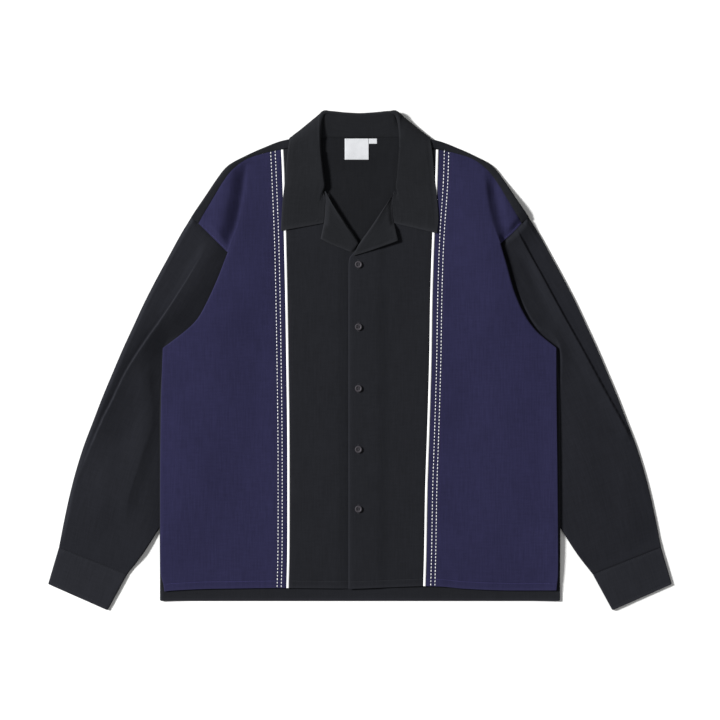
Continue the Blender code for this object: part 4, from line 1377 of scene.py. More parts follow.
@dataclass
class Front:
    """One front: its centre and side panels, and the piping between them, with
    two rows of thick white stitches beside it."""

    side: Side
    wall: float = 0.9
    step: float = 3.0
    piping_width: float = 3.8
    seam_gap: float = 0.3
    hem_depth: float = 11.0
    hem_middle: float = -355.0
    centre_cut: Cut = Cut(0.14, 0.70, 0.0755)
    side_cut: Cut = Cut(0.21, 0.70, 0.110)
    piping_cut: Cut = Cut(0.010, 0.690, 0.0033)
    pick_rows: Pair = (9.8, 16.2)
    pick_opening: Pair = (1.4, 1.9)
    pick_top: Pair = (328.6, 0.24)
    pick_sink: float = 0.22
    stitch_sink: float = 0.1
    arm_stitch: float = 2.0

    @property
    def inner_edge(self) -> float:
        """x of the front edge: the right front laps over the left."""
        return self.neck[0][0]

    @property
    def neck(self) -> tuple:
        """Neck edge above the break of the lapel."""
        return LEFT_NECK_EDGE if self.side is Side.LEFT else RIGHT_NECK_EDGE

    def piping_line(self, distance: float | Array) -> Array:
        """Line beside the piping, hem to shoulder, outward for a positive
        distance."""
        line = dense(signed(of_side(PIPING, self.side), self.side))
        return inset(line, -distance * self.side.value)

    def past_fold(self, x: Array, y: Array) -> Array:
        """Way that keeps a point clear of the armhole's seam once it lies inside
        the front's fold."""
        return 30 * ramp(beside(np.abs(x), y, of_side(FRONT_FOLD, self.side))[0], -3, 3)

    def patch(
        self, inner: Array, outer: Array, hem: Array, top: Array, u: Array, v: Array
    ) -> tuple[Array, Ways, Array, Array]:
        """Coons patch of a panel, with its columns toward +X.

        Args:
            inner, outer: upright sides, nearer the middle and farther from it.
            hem, top: sides across, that start at the outer side.
            u: shares across, from the outer side.
            v: shares up.

        Returns:
            The flat grid, the ways to its sides, and those to its inner and
            outer sides again by name.
        """
        if self.side is Side.LEFT:
            flat = coons((hem, inner, top, outer), u, v)
            ways = Ways.of(flat)
            return flat, ways, ways.right, ways.left
        flat = coons((hem[::-1], outer, top[::-1], inner), 1 - u[::-1], v)
        ways = Ways.of(flat)
        return flat, ways, ways.left, ways.right

    def centre_surface(self) -> Surface:
        """Outside of the centre panel: a Coons patch from the piping to the front
        edge, on the lay's height, with its hem, seam and edges worked in.

        Returns:
            The surface.
        """
        seam = self.piping_line(-(0.5 * self.piping_width + self.seam_gap))
        straight = ((self.inner_edge, self.hem_middle), self.neck[0])
        edge = np.vstack((dense(straight)[:-1], dense(self.neck)))
        v = spread(lengths(seam)[-1], self.step, (self.hem_depth,))
        u = spread(abs(seam[0, 0] - self.inner_edge), self.step)
        seam, edge = at_shares(seam, v), at_shares(edge, v)
        hem = at_shares((seam[0], edge[0]), u)
        top = at_shares((seam[-1], edge[-1]), u)
        flat, ways, from_edge, from_seam = self.patch(edge, seam, hem, top, u, v)
        x, y = flat[..., 0], flat[..., 1]
        level = LAY.front_top(x, y) + hem_band(ways.bottom, self.hem_depth)
        level += seam_edge(from_seam) + seam_edge(ways.top)
        level += folded_edge(ways.bottom) + folded_edge(from_edge, 0.4, 1.4)
        if self.side is Side.RIGHT:
            level += LAY.overlap(x)
        else:
            # The under front sinks before the lapped edge, and a little more at it.
            level -= 1.1 * ramp(x, -36, -20) + 0.7 * ramp(x, -22, -18.5)
        worn = np.minimum(ways.bottom, from_edge)
        return Surface(np.dstack((flat, level)), flat, worn)

    def side_surface(self) -> Surface:
        """Outside of the side panel: a Coons patch from the piping to the side
        seam, the armhole fold and the drop-shoulder seam.

        Returns:
            The surface.
        """
        lower = dense(of_side(FRONT_SIDE_EDGE, self.side))
        fold = dense(of_side(FRONT_FOLD_EDGE, self.side)[: FOLD_CORNER + 1])
        arm = dense(of_side(FRONT_FOLD_EDGE, self.side)[FOLD_CORNER:])
        outer = signed(np.vstack((lower[:-1], fold[:-1], arm)), self.side)
        under, corner = (lengths(outer)[k] for k in (len(lower) - 1, len(lower) + len(fold) - 2))
        whole = lengths(outer)[-1]
        v = np.concatenate((
            spread(under, self.step, (self.hem_depth,)) * under,
            (under + spread(corner - under, self.step, (), False) * (corner - under))[1:],
            (corner + spread(whole - corner, self.step) * (whole - corner))[1:],
        )) / whole
        seam = self.piping_line(0.5 * self.piping_width + self.seam_gap)
        u = spread(abs(outer[0, 0] - seam[0, 0]), self.step)
        seam, outer = at_shares(seam, v), at_shares(outer, v)
        top = dense(np.array(SHOULDER)[1:, 2:4] - (0.0, 0.5))[::-1]
        top = at_shares(signed(top, self.side), u)
        top += (outer[-1] - top[0]) * (1 - u)[:, None] + (seam[-1] - top[-1]) * u[:, None]
        hem = signed(at_shares(dense(of_side(FRONT_HEM, self.side)), u), self.side)
        hem += (outer[0] - hem[0]) * (1 - u)[:, None] + (seam[0] - hem[-1]) * u[:, None]
        flat, ways, from_seam, from_side = self.patch(seam, outer, hem, top, u, v)
        x, y = flat[..., 0], flat[..., 1]
        arm_line = of_side(FRONT_FOLD_EDGE, self.side)
        from_arm = np.abs(beside(np.abs(x), y, arm_line[FOLD_CORNER:])[0])
        from_fold = np.abs(beside(np.abs(x), y, arm_line[: FOLD_CORNER + 1])[0])
        free = ramp(y, 14, 30)
        level = LAY.to_seam(LAY.front_top(x, y), x, y, from_arm + self.past_fold(x, y))
        level += folded_edge(from_fold, 1.7, 2.4) * free
        level += folded_edge(ways.bottom) + folded_edge(from_side, 0.4) * (1 - free)
        level += seam_edge(from_seam) + seam_edge(ways.top) + hem_band(ways.bottom, self.hem_depth)
        from_piping = np.abs(beside(np.abs(x), y, of_side(PIPING, self.side))[0])
        level -= 0.35 * bell(from_piping - 13, 5)
        worn = np.minimum.reduce((ways.bottom, from_arm + 0.8, from_side + 1))
        return Surface(np.dstack((flat, level)), flat, worn)

    def piping_mesh(self, name: str) -> Mesh:
        """Piping as a strip whose section is a flat base under half an ellipse.

        Args:
            name: name of the piece.

        Returns:
            The mesh.
        """
        middle = self.piping_line(0.0)
        v = spread(lengths(middle)[-1], 3)
        turn = np.linspace(0, np.pi, 9)
        half = 0.5 * self.piping_width
        across = np.concatenate((half * np.cos(turn), half * np.linspace(-0.8, 0.8, 7)))
        rise = np.concatenate((np.sin(turn) ** 0.7 - 0.5, np.full(7, -0.62)))
        lines = [at_shares(self.piping_line(a * self.side.value), v) for a in across[::-1]]
        flat = np.stack(lines, axis=1)
        x = np.repeat(at_shares(middle, v)[:, None, 0], len(across), axis=1)
        level = LAY.front_top(x, flat[..., 1]) + rise[::-1] + 0.05
        points = np.dstack((flat, level))
        along = np.repeat((v * lengths(middle)[-1])[:, None], len(across), axis=1)
        grain = np.stack((np.broadcast_to(across[::-1], along.shape), along), -1)
        quads = bar_quads(*along.shape)
        far = np.full(along.size, FAR)
        return mesh_of(name, points.reshape(-1, 3), quads, grain.reshape(-1, 2), far)

    def pick_lines(self) -> list[Array]:
        """Two lines on the side panel, beside the piping, that open a little
        toward the shoulder and stop at its seam, which slants down outward.

        Returns:
            Points (n, 3) of each line.
        """
        found = []
        up = dense(of_side(PIPING, self.side))[:, 1]
        for distance, more in zip(self.pick_rows, self.pick_opening):
            out = distance + more * ramp(up, 150, 330)
            line = self.piping_line(out)
            y = line[:, 1]
            high, slant = self.pick_top
            line = line[(y > self.hem_middle + 1.5) & (y < high - slant * out)]
            level = LAY.front_top(line[:, 0], line[:, 1]) - self.pick_sink
            found.append(np.column_stack((line, level)))
        return found

    def hem_line(self, panel: str) -> Array:
        """Line of hem stitches across a panel, from the piping outward or in.

        Args:
            panel: "side" or "centre".

        Returns:
            Points (n, 3).
        """
        half = 0.5 * self.piping_width + self.seam_gap + 1
        start = self.piping_line(0.0)[0]
        if panel == "side":
            line = dense(of_side(FRONT_HEM, self.side))[::-1][3:-6]
            line = signed(line, self.side) + (0.0, self.hem_depth)
            line = line[np.abs(line[:, 0]) > abs(start[0]) + half]
        else:
            ends = (start[0] - half * self.side.value, self.inner_edge)
            line = dense(((ends[0], start[1]), (ends[1], self.hem_middle))) + (0.0, self.hem_depth)
        level = LAY.front_top(line[:, 0], line[:, 1]) - self.stitch_sink
        if self.side is Side.RIGHT and panel == "centre":
            level += LAY.overlap(line[:, 0])
        return np.column_stack((line, level))

    def arm_stitch_line(self) -> Array:
        """Line of stitches just inside the drop-shoulder seam.

        Returns:
            Points (n, 3).
        """
        line = dense(of_side(FRONT_FOLD_EDGE, self.side)[FOLD_CORNER:])[4:-4]
        line = signed(inset(line, self.arm_stitch), self.side)
        x, y = line.T
        level = LAY.to_seam(LAY.front_top(x, y), x, y, self.arm_stitch + self.past_fold(x, y))
        return np.column_stack((line, level - 0.02))

    def build(self) -> None:
        """Make both panels, the piping and their stitches."""
        tag = self.side.tag
        centre = lay_cloth(f"front_centre_{tag}", self.centre_surface(), self.wall, BLACK_COTTON)
        side = lay_cloth(f"front_side_{tag}", self.side_surface(), self.wall, NAVY_COTTON)
        name = f"cloth_piping_{tag}"
        piping = settle(name, self.piping_mesh(name), PIPING_TAPE, f"piping_{tag}")
        picks = PICK_STITCH.sew(f"pick_stitches_{tag}", self.pick_lines())
        navy_lines = [self.hem_line("side"), self.arm_stitch_line()]
        navy = NAVY_STITCH.sew(f"navy_stitches_{tag}", navy_lines)
        black = BLACK_STITCH.sew(f"hem_stitches_{tag}", [self.hem_line("centre")])
        self.centre_cut.declare(centre, ("cloth_back",), (black,))
        self.side_cut.declare(side, ("cloth_back",), (picks, navy))
        self.piping_cut.declare(piping, (side, centre))


@dataclass(frozen=True)
class Tube:
    """Flattened tube between an inner and an outer fold, given row by row.

    A section goes from the inner fold over the top to the outer fold and back
    underneath: each fold is half a circle, and each face is straight.
    """

    height: float
    across: int
    under: int
    inner_turns: tuple[float, ...] = (165.0, 140.0, 115.0)
    outer_turns: tuple[float, ...] = (65.0, 40.0, 15.0, -15.0, -40.0, -65.0)

    def grid(self, side: Side, inner: Array, outer: Array, apart: Array) -> tuple[Array, Array, Array]:
        """Points of the tube.

        Args:
            side: the half of the garment, for the sign of x and the order.
            inner, outer: points of the folds (rows, 2), x without its sign.
            apart: for each row 1 where the two faces lie apart at the inner
                side, and 0 where they are joined.

        Returns:
            Points (rows, columns, 3), the way to the outer fold across each
            section, negative underneath, and each column's share of the top.
        """
        r = 0.5 * self.height
        roll, end = np.radians(self.inner_turns), np.radians(self.outer_turns)
        top = np.linspace(0, 1, self.across + 1)
        low = np.linspace(1, 0, self.under + 1)
        start = r + r * np.cos(roll)
        fixed = np.concatenate((
            start, r - 2 * r * top, r * np.cos(end) - r, r - 2 * r * low, start[::-1],
        ))
        still = np.zeros(len(roll))
        times = np.concatenate((still, top, np.ones(len(end)), low, still))
        level = np.concatenate((
            r + r * np.sin(roll), np.full(len(top), 2 * r), r + r * np.sin(end),
            np.zeros(len(low)), (r - r * np.sin(roll))[::-1],
        ))
        parted = level.copy()
        parted[: len(roll)], parted[-len(roll) :] = 2 * r, 0.0
        width = np.linalg.norm(outer - inner, axis=1)[:, None]
        unit = (outer - inner) / width
        reach = fixed + times * width
        plan = inner[:, None, :] + reach[..., None] * unit[:, None, :]
        apart = apart[:, None]
        rise = level * (1 - apart) + parted * apart
        points = np.dstack((plan * (side.value, 1.0), rise))
        upper = np.clip(level / r - 1, 0, 1)
        way = (width - reach) * np.where(level < r, -1.0, 1.0)
        if side is Side.LEFT:
            return points[:, ::-1], way[:, ::-1], upper[::-1]
        return points, way, upper


@dataclass
class Sleeve:
    """One sleeve with its cuff: two flattened tubes, with the sleeve's long tuck
    and creases on its upper face."""

    side: Side
    tuck: Crease
    creases: tuple[Crease, ...]
    bank: float = 0.0
    loft: float = 3.0
    tube: Tube = Tube(3.2, 100, 30)
    cuff_tube: Tube = Tube(4.2, 40, 26)
    wall: float = 0.9
    cuff_wall: float = 1.4
    step: float = 3.6
    slit: float = 9.0
    seam_rise: float = 3.0
    puff: float = 0.8
    cuff_rise: float = 0.9
    corner: float = 1.4
    head_pitch: float = 39.0
    body_reach: float = 34.0
    seam_reach: float = 26.0
    bank_across: Pair = (2.4, 7.4)
    bank_up: Pair = (-110.0, 70.0)
    hem_groove: float = 5.0
    top_groove: float = 2.5
    cuff_outer: tuple[Pair, ...] = ((483.8, -347.4), (467.2, -291.0))
    cuff_inner: tuple[Pair, ...] = ((391.4, -388.2), (361.4, -333.2))
    cut: Cut = Cut(0.36, 0.60, 0.141)
    cuff_cut: Cut = Cut(0.225, 0.060, 0.0131)

    def folds(self) -> tuple[Array, Array, Array]:
        """Folds of the sleeve from the cuff up.

        Returns:
            Inner and outer points (rows, 2), x without its sign, and how far
            apart the faces lie at the inner side of each row: the tube is slit
            where its head goes under the body.
        """
        head = of_side(SLEEVE_HEAD, self.side)[:0:-1]
        inner = np.vstack((head, at_shares(dense(SLEEVE_INNER), np.linspace(0, 1, 11))))
        outer = at_shares(dense(SLEEVE_OUTER), np.linspace(0, 1, len(inner)))
        long = lengths(outer)[-1]
        t = np.linspace(0, len(inner) - 1, round(long / self.step))[::-1]
        underarm = float(len(head))
        apart = ramp(t, underarm, underarm - self.slit / self.head_pitch)
        return spline(inner, t), spline(outer, t), apart

    def rise(self, x: Array, y: Array) -> Array:
        """Height of the upper face above the flat tube.

        The creases and the slack fade out under the body.  Beside the
        drop-shoulder seam the sleeve comes up to the front's level.

        Args:
            x, y: points.

        Returns:
            Millimetres, in the shape of x.
        """
        edge = of_side(FRONT_FOLD_EDGE, self.side)
        border = np.vstack((of_side(FRONT_SIDE_EDGE, self.side)[2:-1], edge))
        outside = -beside(np.abs(x), y, border)[0]
        loose = self.tuck.at(x, y) + sum(crease.at(x, y) for crease in self.creases)
        loose = loose + self.loft + 0.8 * LAY.slack(x, y)
        near = np.clip(outside / self.body_reach, 0, 1)
        bank = self.bank * (1 - near) ** 2 * ramp(outside, *self.bank_across)
        bank *= ramp(y, *self.bank_up)
        seam, share = beside(np.abs(x), y, edge[FOLD_CORNER:])
        away = bell(np.maximum(-seam, 0), self.seam_reach)
        lift = self.seam_rise * ramp(-seam, -3, -0.8)
        lift += self.puff * ramp(-seam, 0.4, 3.4)
        lift *= away * ramp(share, 0, 0.4)
        return np.maximum(loose * near * (2 - near) + bank, -1) + lift

    def surface(self) -> Surface:
        """Outside of the sleeve.

        Returns:
            The surface.
        """
        inner, outer, apart = self.folds()
        points, way, upper = self.tube.grid(self.side, inner, outer, apart)
        along = lengths(outer)[:, None]
        soft = ramp(np.abs(way), 0, 7)
        lift = self.rise(points[..., 0], points[..., 1]) * soft * ramp(along, 0, 46)
        lift += self.cuff_rise * ramp(along, 16, 1)
        lift += 0.3 * seam_edge(along)
        points[..., 2] += lift * upper
        grain = np.stack((way, np.broadcast_to(along, way.shape)), -1)
        worn = np.abs(way) + 0.8
        keep = np.ones((len(points) - 1, points.shape[1]), bool)
        keep[:, -1] = np.maximum(apart[1:], apart[:-1]) < 0.01
        return Surface(points, grain, worn, wrap=True, keep=keep)

    def cuff_edges(self) -> tuple[Array, Array]:
        """Folds of the cuff from the hem up, drawn in at the hem's corners.

        Returns:
            Inner and outer points (rows, 2), x without its sign.
        """
        outer, inner = dense(self.cuff_outer, 1), dense(self.cuff_inner, 1)
        v = spread(lengths(outer)[-1], 3.2, (self.hem_groove,))
        outer, inner = at_shares(outer, v), at_shares(inner, v)
        near = np.clip(1 - lengths(outer) / self.corner, 0, 1)[:, None]
        shift = self.corner * (1 - np.sqrt(1 - near**2))
        unit = (outer - inner) / np.linalg.norm(outer - inner, axis=1)[:, None]
        return inner + unit * shift, outer - unit * shift

    def cuff_puff(self, x: Array, y: Array) -> Array:
        """Height of the cuff's slack, which is finer than the sleeve's."""
        return 0.7 * LAY.slack(x * 1.5, y * 1.5)

    def cuff_surface(self) -> Surface:
        """Outside of the cuff: a band open at both ends, stitched near both.

        Returns:
            The surface.
        """
        inner, outer = self.cuff_edges()
        points, way, upper = self.cuff_tube.grid(self.side, inner, outer, np.zeros(len(inner)))
        along = lengths(outer)[:, None]
        lift = self.cuff_puff(points[..., 0], points[..., 1]) * ramp(np.abs(way), 0, 14)
        lift = lift - 0.25 * bell(along - self.hem_groove, 1.3) + folded_edge(along, 0.6, 2)
        lift = lift + 0.3 * seam_edge(along[-1] - along)
        points[..., 2] += lift * upper
        grain = np.stack((way, np.broadcast_to(along, way.shape)), -1)
        worn = np.minimum(np.abs(way) + 0.8, along)
        return Surface(points, grain, worn, wrap=True)

    def cuff_lines(self) -> list[Array]:
        """Lines of stitches across the cuff's upper face.

        Returns:
            One array of points (n, 3) for the hem and one for the top edge.
        """
        outer, inner = dense(self.cuff_outer, 1), dense(self.cuff_inner, 1)
        long = lengths(outer)[-1]
        lines = []
        for away in (self.hem_groove, long - self.top_groove):
            ends = [at_shares(fold, np.array([away / long]))[0] for fold in (inner, outer)]
            line = signed(at_shares(np.array(ends), np.linspace(0.04, 0.96, 60)), self.side)
            level = self.cuff_tube.height + self.cuff_puff(line[:, 0], line[:, 1])
            lines.append(np.column_stack((line, level - 0.2)))
        return lines

    def build(self) -> None:
        """Make the sleeve and its cuff."""
        tag = self.side.tag
        sleeve = lay_cloth(f"sleeve_{tag}", self.surface(), self.wall, SLEEVE_COTTON)
        cuff = lay_cloth(f"cuff_{tag}", self.cuff_surface(), self.cuff_wall, CUFF_COTTON)
        thread = BLACK_STITCH.sew(f"cuff_stitches_{tag}", self.cuff_lines())
        self.cut.declare(sleeve, ("studio_floor", "cloth_back"))
        self.cuff_cut.declare(cuff, ("studio_floor",), (thread,))


@dataclass
class Lapel:
    """One lapel, turned out on its front and rolled along its inner edge."""

    side: Side
    tip_lift: float
    wall: float = 1.0
    over_front: float = 2.0
    gorge_level: float = 5.95
    tip_reach: float = 36.0
    covered: float = 0.35
    cut: Cut = Cut(0.062, 0.095, 0.0029, Held.FOLDED)

    def surface(self) -> Surface:
        """Outside of the lapel: a Coons patch between its roll, free edge, bottom
        edge and gorge, lifted by the profile across it.

        Returns:
            The surface.
        """
        left = self.side is Side.LEFT
        roll = dense(LEFT_LAPEL_ROLL if left else RIGHT_LAPEL_ROLL)
        free = dense(LEFT_LAPEL_FREE if left else RIGHT_LAPEL_FREE)
        bottom = dense(LEFT_LAPEL_BOTTOM if left else RIGHT_LAPEL_BOTTOM)
        v = spread(lengths(roll)[-1], 1.8)
        table = np.array(LAPEL_PROFILE)
        even = np.linspace(0, len(table) - 1, 37)
        place, lift, curl = spline(table, even).T
        place = np.maximum.accumulate(np.clip(place, 0, 1))
        if left:
            place, lift, curl = 1 - place[::-1], lift[::-1], curl[::-1]
        low, high = (free, roll) if left else (roll, free)
        low, high = at_shares(low, v), at_shares(high, v)
        bottom = at_shares(bottom, place)
        bottom += (low[0] - bottom[0]) * (1 - place)[:, None]
        bottom += (high[0] - bottom[-1]) * place[:, None]
        top = at_shares((low[-1], high[-1]), place)
        bottom_tip = free[0]
        flat = coons((bottom, high, top, low), place, v)
        x, y = flat[..., 0], flat[..., 1]
        ways = Ways.of(flat)
        from_free = ways.left if left else ways.right
        from_roll = ways.right if left else ways.left
        from_tip = np.hypot(x - bottom_tip[0], y - bottom_tip[1])
        rise = self.over_front + self.tip_lift * bell(from_tip, self.tip_reach)
        rise += lift * ramp(y, 156, 196) - curl * ramp(y, 176, 188)
        if left:
            # Under the right front it lies flat.
            hidden = ramp(beside(x, y, RIGHT_NECK_EDGE)[0], 5, 0.5)
            rise += (self.covered - rise) * hidden
        else:
            rise += LAY.overlap(x)
        level = LAY.front_top(x, y) + rise
        joined = ramp(from_free, 8, 0) * ramp(y, 203, 214)
        joined = np.maximum(joined, 0.5 * ramp(y, 250, 259))
        gorge = self.gorge_level + 0.6 * ramp(y, 240, 254)
        level += (gorge - level) * joined
        level += folded_edge(ways.bottom, 0.4, 1.4)
        level += folded_edge(from_free, 0.4, 1.4) * ramp(y, 214, 206)
        level += stitched_edge(np.minimum(ways.bottom, from_free + 40 * ramp(y, 198, 206)))
        grain = np.stack((from_roll * (1.0 if left else -1.0), ways.bottom), -1)
        worn = np.minimum.reduce((ways.bottom, from_free, from_roll + 1))
        return Surface(np.dstack((flat, level)), grain, worn)

    def build(self) -> None:
        """Make the lapel."""
        tag = self.side.tag
        piece = lay_cloth(f"lapel_{tag}", self.surface(), self.wall, COLLAR_COTTON)
        self.cut.declare(piece, (f"cloth_front_centre_{tag}",))


@dataclass
class Collar:
    """One-piece collar from notch to notch: stand, roll and turned-down leaf.

    Each row of the table is a section.  Where the collar is turned over, the
    section goes up from the neck seam, round half a circle whose plane leans to
    the side that it faces, and down to the outer edge.  Where it lies flat, the
    section is a straight line.  Both, and the rows between, are splined.
    """

    wall: float = 1.2
    step: float = 2.4
    ripple: float = 0.5
    cut: Cut = Cut(0.50, 0.115, 0.038, Held.FOLDED)

    def table(self) -> Array:
        """All 23 sections, from the left notch round the back to the right.

        The right half differs: its gorge and notch are nearer the middle and its
        roll is lower and tighter, and faces outward for longer.

        Returns:
            Sections (23, 12).
        """
        half = np.array(COLLAR_SECTIONS)
        other = half.copy()
        other[:4, 0] -= RIGHT_GORGE_SHIFT
        other[0, 8:10] -= (2.6, 4.0)
        other[4:7, 5] -= 1.2
        other[4:7, 6] *= 0.75
        other[7:9, 5] -= 0.8
        other[6:9, 7] = (170.0, 156.0, 92.0)
        mirror = np.ones(12)
        mirror[[0, 3, 8]] = -1.0
        return np.vstack((half * mirror, other[:-1][::-1]))

    def sections(self, rows: Array) -> Array:
        """Ten points of each section, from the neck seam to the outer edge.

        Args:
            rows: sections (n, 12).

        Returns:
            Points (n, 10, 3).
        """
        neck, centre, edge = rows[:, 0:3], rows[:, 3:6], rows[:, 8:11]
        radius, turn, fold = rows[:, 6], np.radians(rows[:, 7]), rows[:, 11]
        run = np.gradient(centre[:, :2], axis=0)
        run /= np.linalg.norm(run, axis=1)[:, None]
        out = np.column_stack((-run[:, 1], run[:, 0], np.zeros(len(rows))))
        angles = turn[:, None] + np.radians((90, 45, 0, -45, -90))
        lean = np.cos(angles)[..., None] * out[:, None, :]
        lean[..., 2] += np.sin(angles)
        arc = centre[:, None, :] + radius[:, None, None] * lean
        leaf = []
        power = 3 - 1.7 * ramp(rows[:, 7], 60, 150)
        for share in (0.3, 0.65):
            point = arc[:, -1] * (1 - share) + edge * share
            point[:, 2] = edge[:, 2] + (arc[:, -1, 2] - edge[:, 2]) * (1 - share) ** power
            leaf.append(point)
        rolled = np.stack((neck, 0.5 * (neck + arc[:, 0]), *arc.transpose(1, 0, 2), *leaf, edge), 1)
        place = np.array((0.0, 0.03, 0.06, 0.09, 0.12, 0.15, 0.18, 0.42, 0.72, 1.0))
        flat = neck[:, None] * (1 - place)[:, None] + edge[:, None] * place[:, None]
        fold = fold[:, None, None]
        return flat * (1 - fold) + rolled * fold

    def surface(self) -> Surface:
        """Outside of the collar.

        Returns:
            The surface.
        """
        table = self.table()
        fine = dense(table[:, 3:5])
        along = lengths(fine)
        count = round(along[-1] / self.step)
        t = np.interp(np.linspace(0, along[-1], count), along, np.linspace(0, 22, len(fine)))
        rows = spline(table, t)
        rows[:, 11] = np.clip(rows[:, 11], 0, 1)
        across = np.concatenate((
            np.linspace(0, 2, 9)[:-1], np.linspace(2, 6, 25)[:-1],
            np.linspace(6, 9, 36)[:-3], (8.94, 8.975, 9.0),
        ))
        points = spline(self.sections(rows), across)[:, ::-1]
        a, b = np.gradient(points, axis=1), np.gradient(points, axis=0)
        normal = np.cross(a, b)
        normal /= np.linalg.norm(normal, axis=2)[..., None]
        way = np.linalg.norm(np.diff(points, axis=1), axis=2).cumsum(1)
        way = np.pad(way, ((0, 0), (1, 0)))
        end = way[:, -1:] - way
        along = np.linspace(0, along[-1], count)[:, None]
        soft = LAY.slack(points[..., 0] * 1.7, points[..., 1] * 1.7)
        puff = self.ripple * (soft - 0.3) * ramp(way, 2, 20) * ramp(end, 6, 30)
        ends = np.minimum(along, along[-1] - along)
        out = 0.5 * self.wall + puff + folded_edge(way, 0.4, 1.4) + stitched_edge(np.minimum(way, ends))
        points = points + normal * out[..., None]
        grain = np.stack((way, np.broadcast_to(along, way.shape)), -1)
        return Surface(points, grain, np.minimum(way, np.broadcast_to(ends, way.shape)))

    def build(self) -> None:
        """Make the collar."""
        piece = lay_cloth("collar", self.surface(), self.wall, COLLAR_COTTON)
        self.cut.declare(piece, ("cloth_back", "cloth_front_centre_left"))


@dataclass
class NeckLabel:
    """Blank woven label at the back of the neck, with a small size tab."""

    wall: float = 0.7
    top: float = 343.0
    above_back: float = 2.15
    label: tuple[float, float, float] = (-23.5, 13.5, 310.6)
    tab: tuple[float, float, float] = (14.2, 26.4, 335.2)
    label_cut: Cut = Cut(0.038, 0.033, 0.00125)
    tab_cut: Cut = Cut(0.0127, 0.010, 0.00011)

    def level(self, x: Array, y: Array) -> Array:
        """Height of the label's upper side, which sags a little below its seam.

        Args:
            x, y: points.

        Returns:
            Millimetres, in the shape of x.
        """
        sag = 0.35 * undulation(x, y, 31, 14, 40) * ramp(y, self.top, self.top - 12)
        return LAY.under_back(x, y) + self.above_back + sag

    def surface(self, left: float, right: float, bottom: float) -> Surface:
        """Upper side of a rectangle of ribbon that reaches up to the seam.

        Args:
            left, right: its sides.
            bottom: its free end.

        Returns:
            The surface.
        """
        u = spread(right - left, 1.6)
        v = spread(self.top - bottom, 1.6)
        x, y = np.meshgrid(left + (right - left) * u, bottom + (self.top - bottom) * v)
        flat = np.dstack((x, y))
        ways = Ways.of(flat)
        around = np.minimum(np.minimum(ways.left, ways.right), ways.bottom)
        level = self.level(x, y) + folded_edge(around, 0.25, 0.8)
        return Surface(np.dstack((flat, level)), flat, around)

    def build(self) -> None:
        """Make the label, the tab and the stitches that hold them."""
        label = lay_cloth("label", self.surface(*self.label), self.wall, LABEL_SATIN)
        tab = lay_cloth("size_tab", self.surface(*self.tab), self.wall, LABEL_SATIN)
        x = np.linspace(self.label[0] + 0.8, self.tab[1] - 0.8, 60)
        y = np.full_like(x, self.top - 1.3)
        line = np.column_stack((x, y, self.level(x, y) + 0.02))
        thread = Stitches(1.5, 0.35, 2.0, WHITE_THREAD).sew("label_stitches", [line])
        self.label_cut.declare(label, ("cloth_back",), (thread,))
        self.tab_cut.declare(tab, ("cloth_back",))


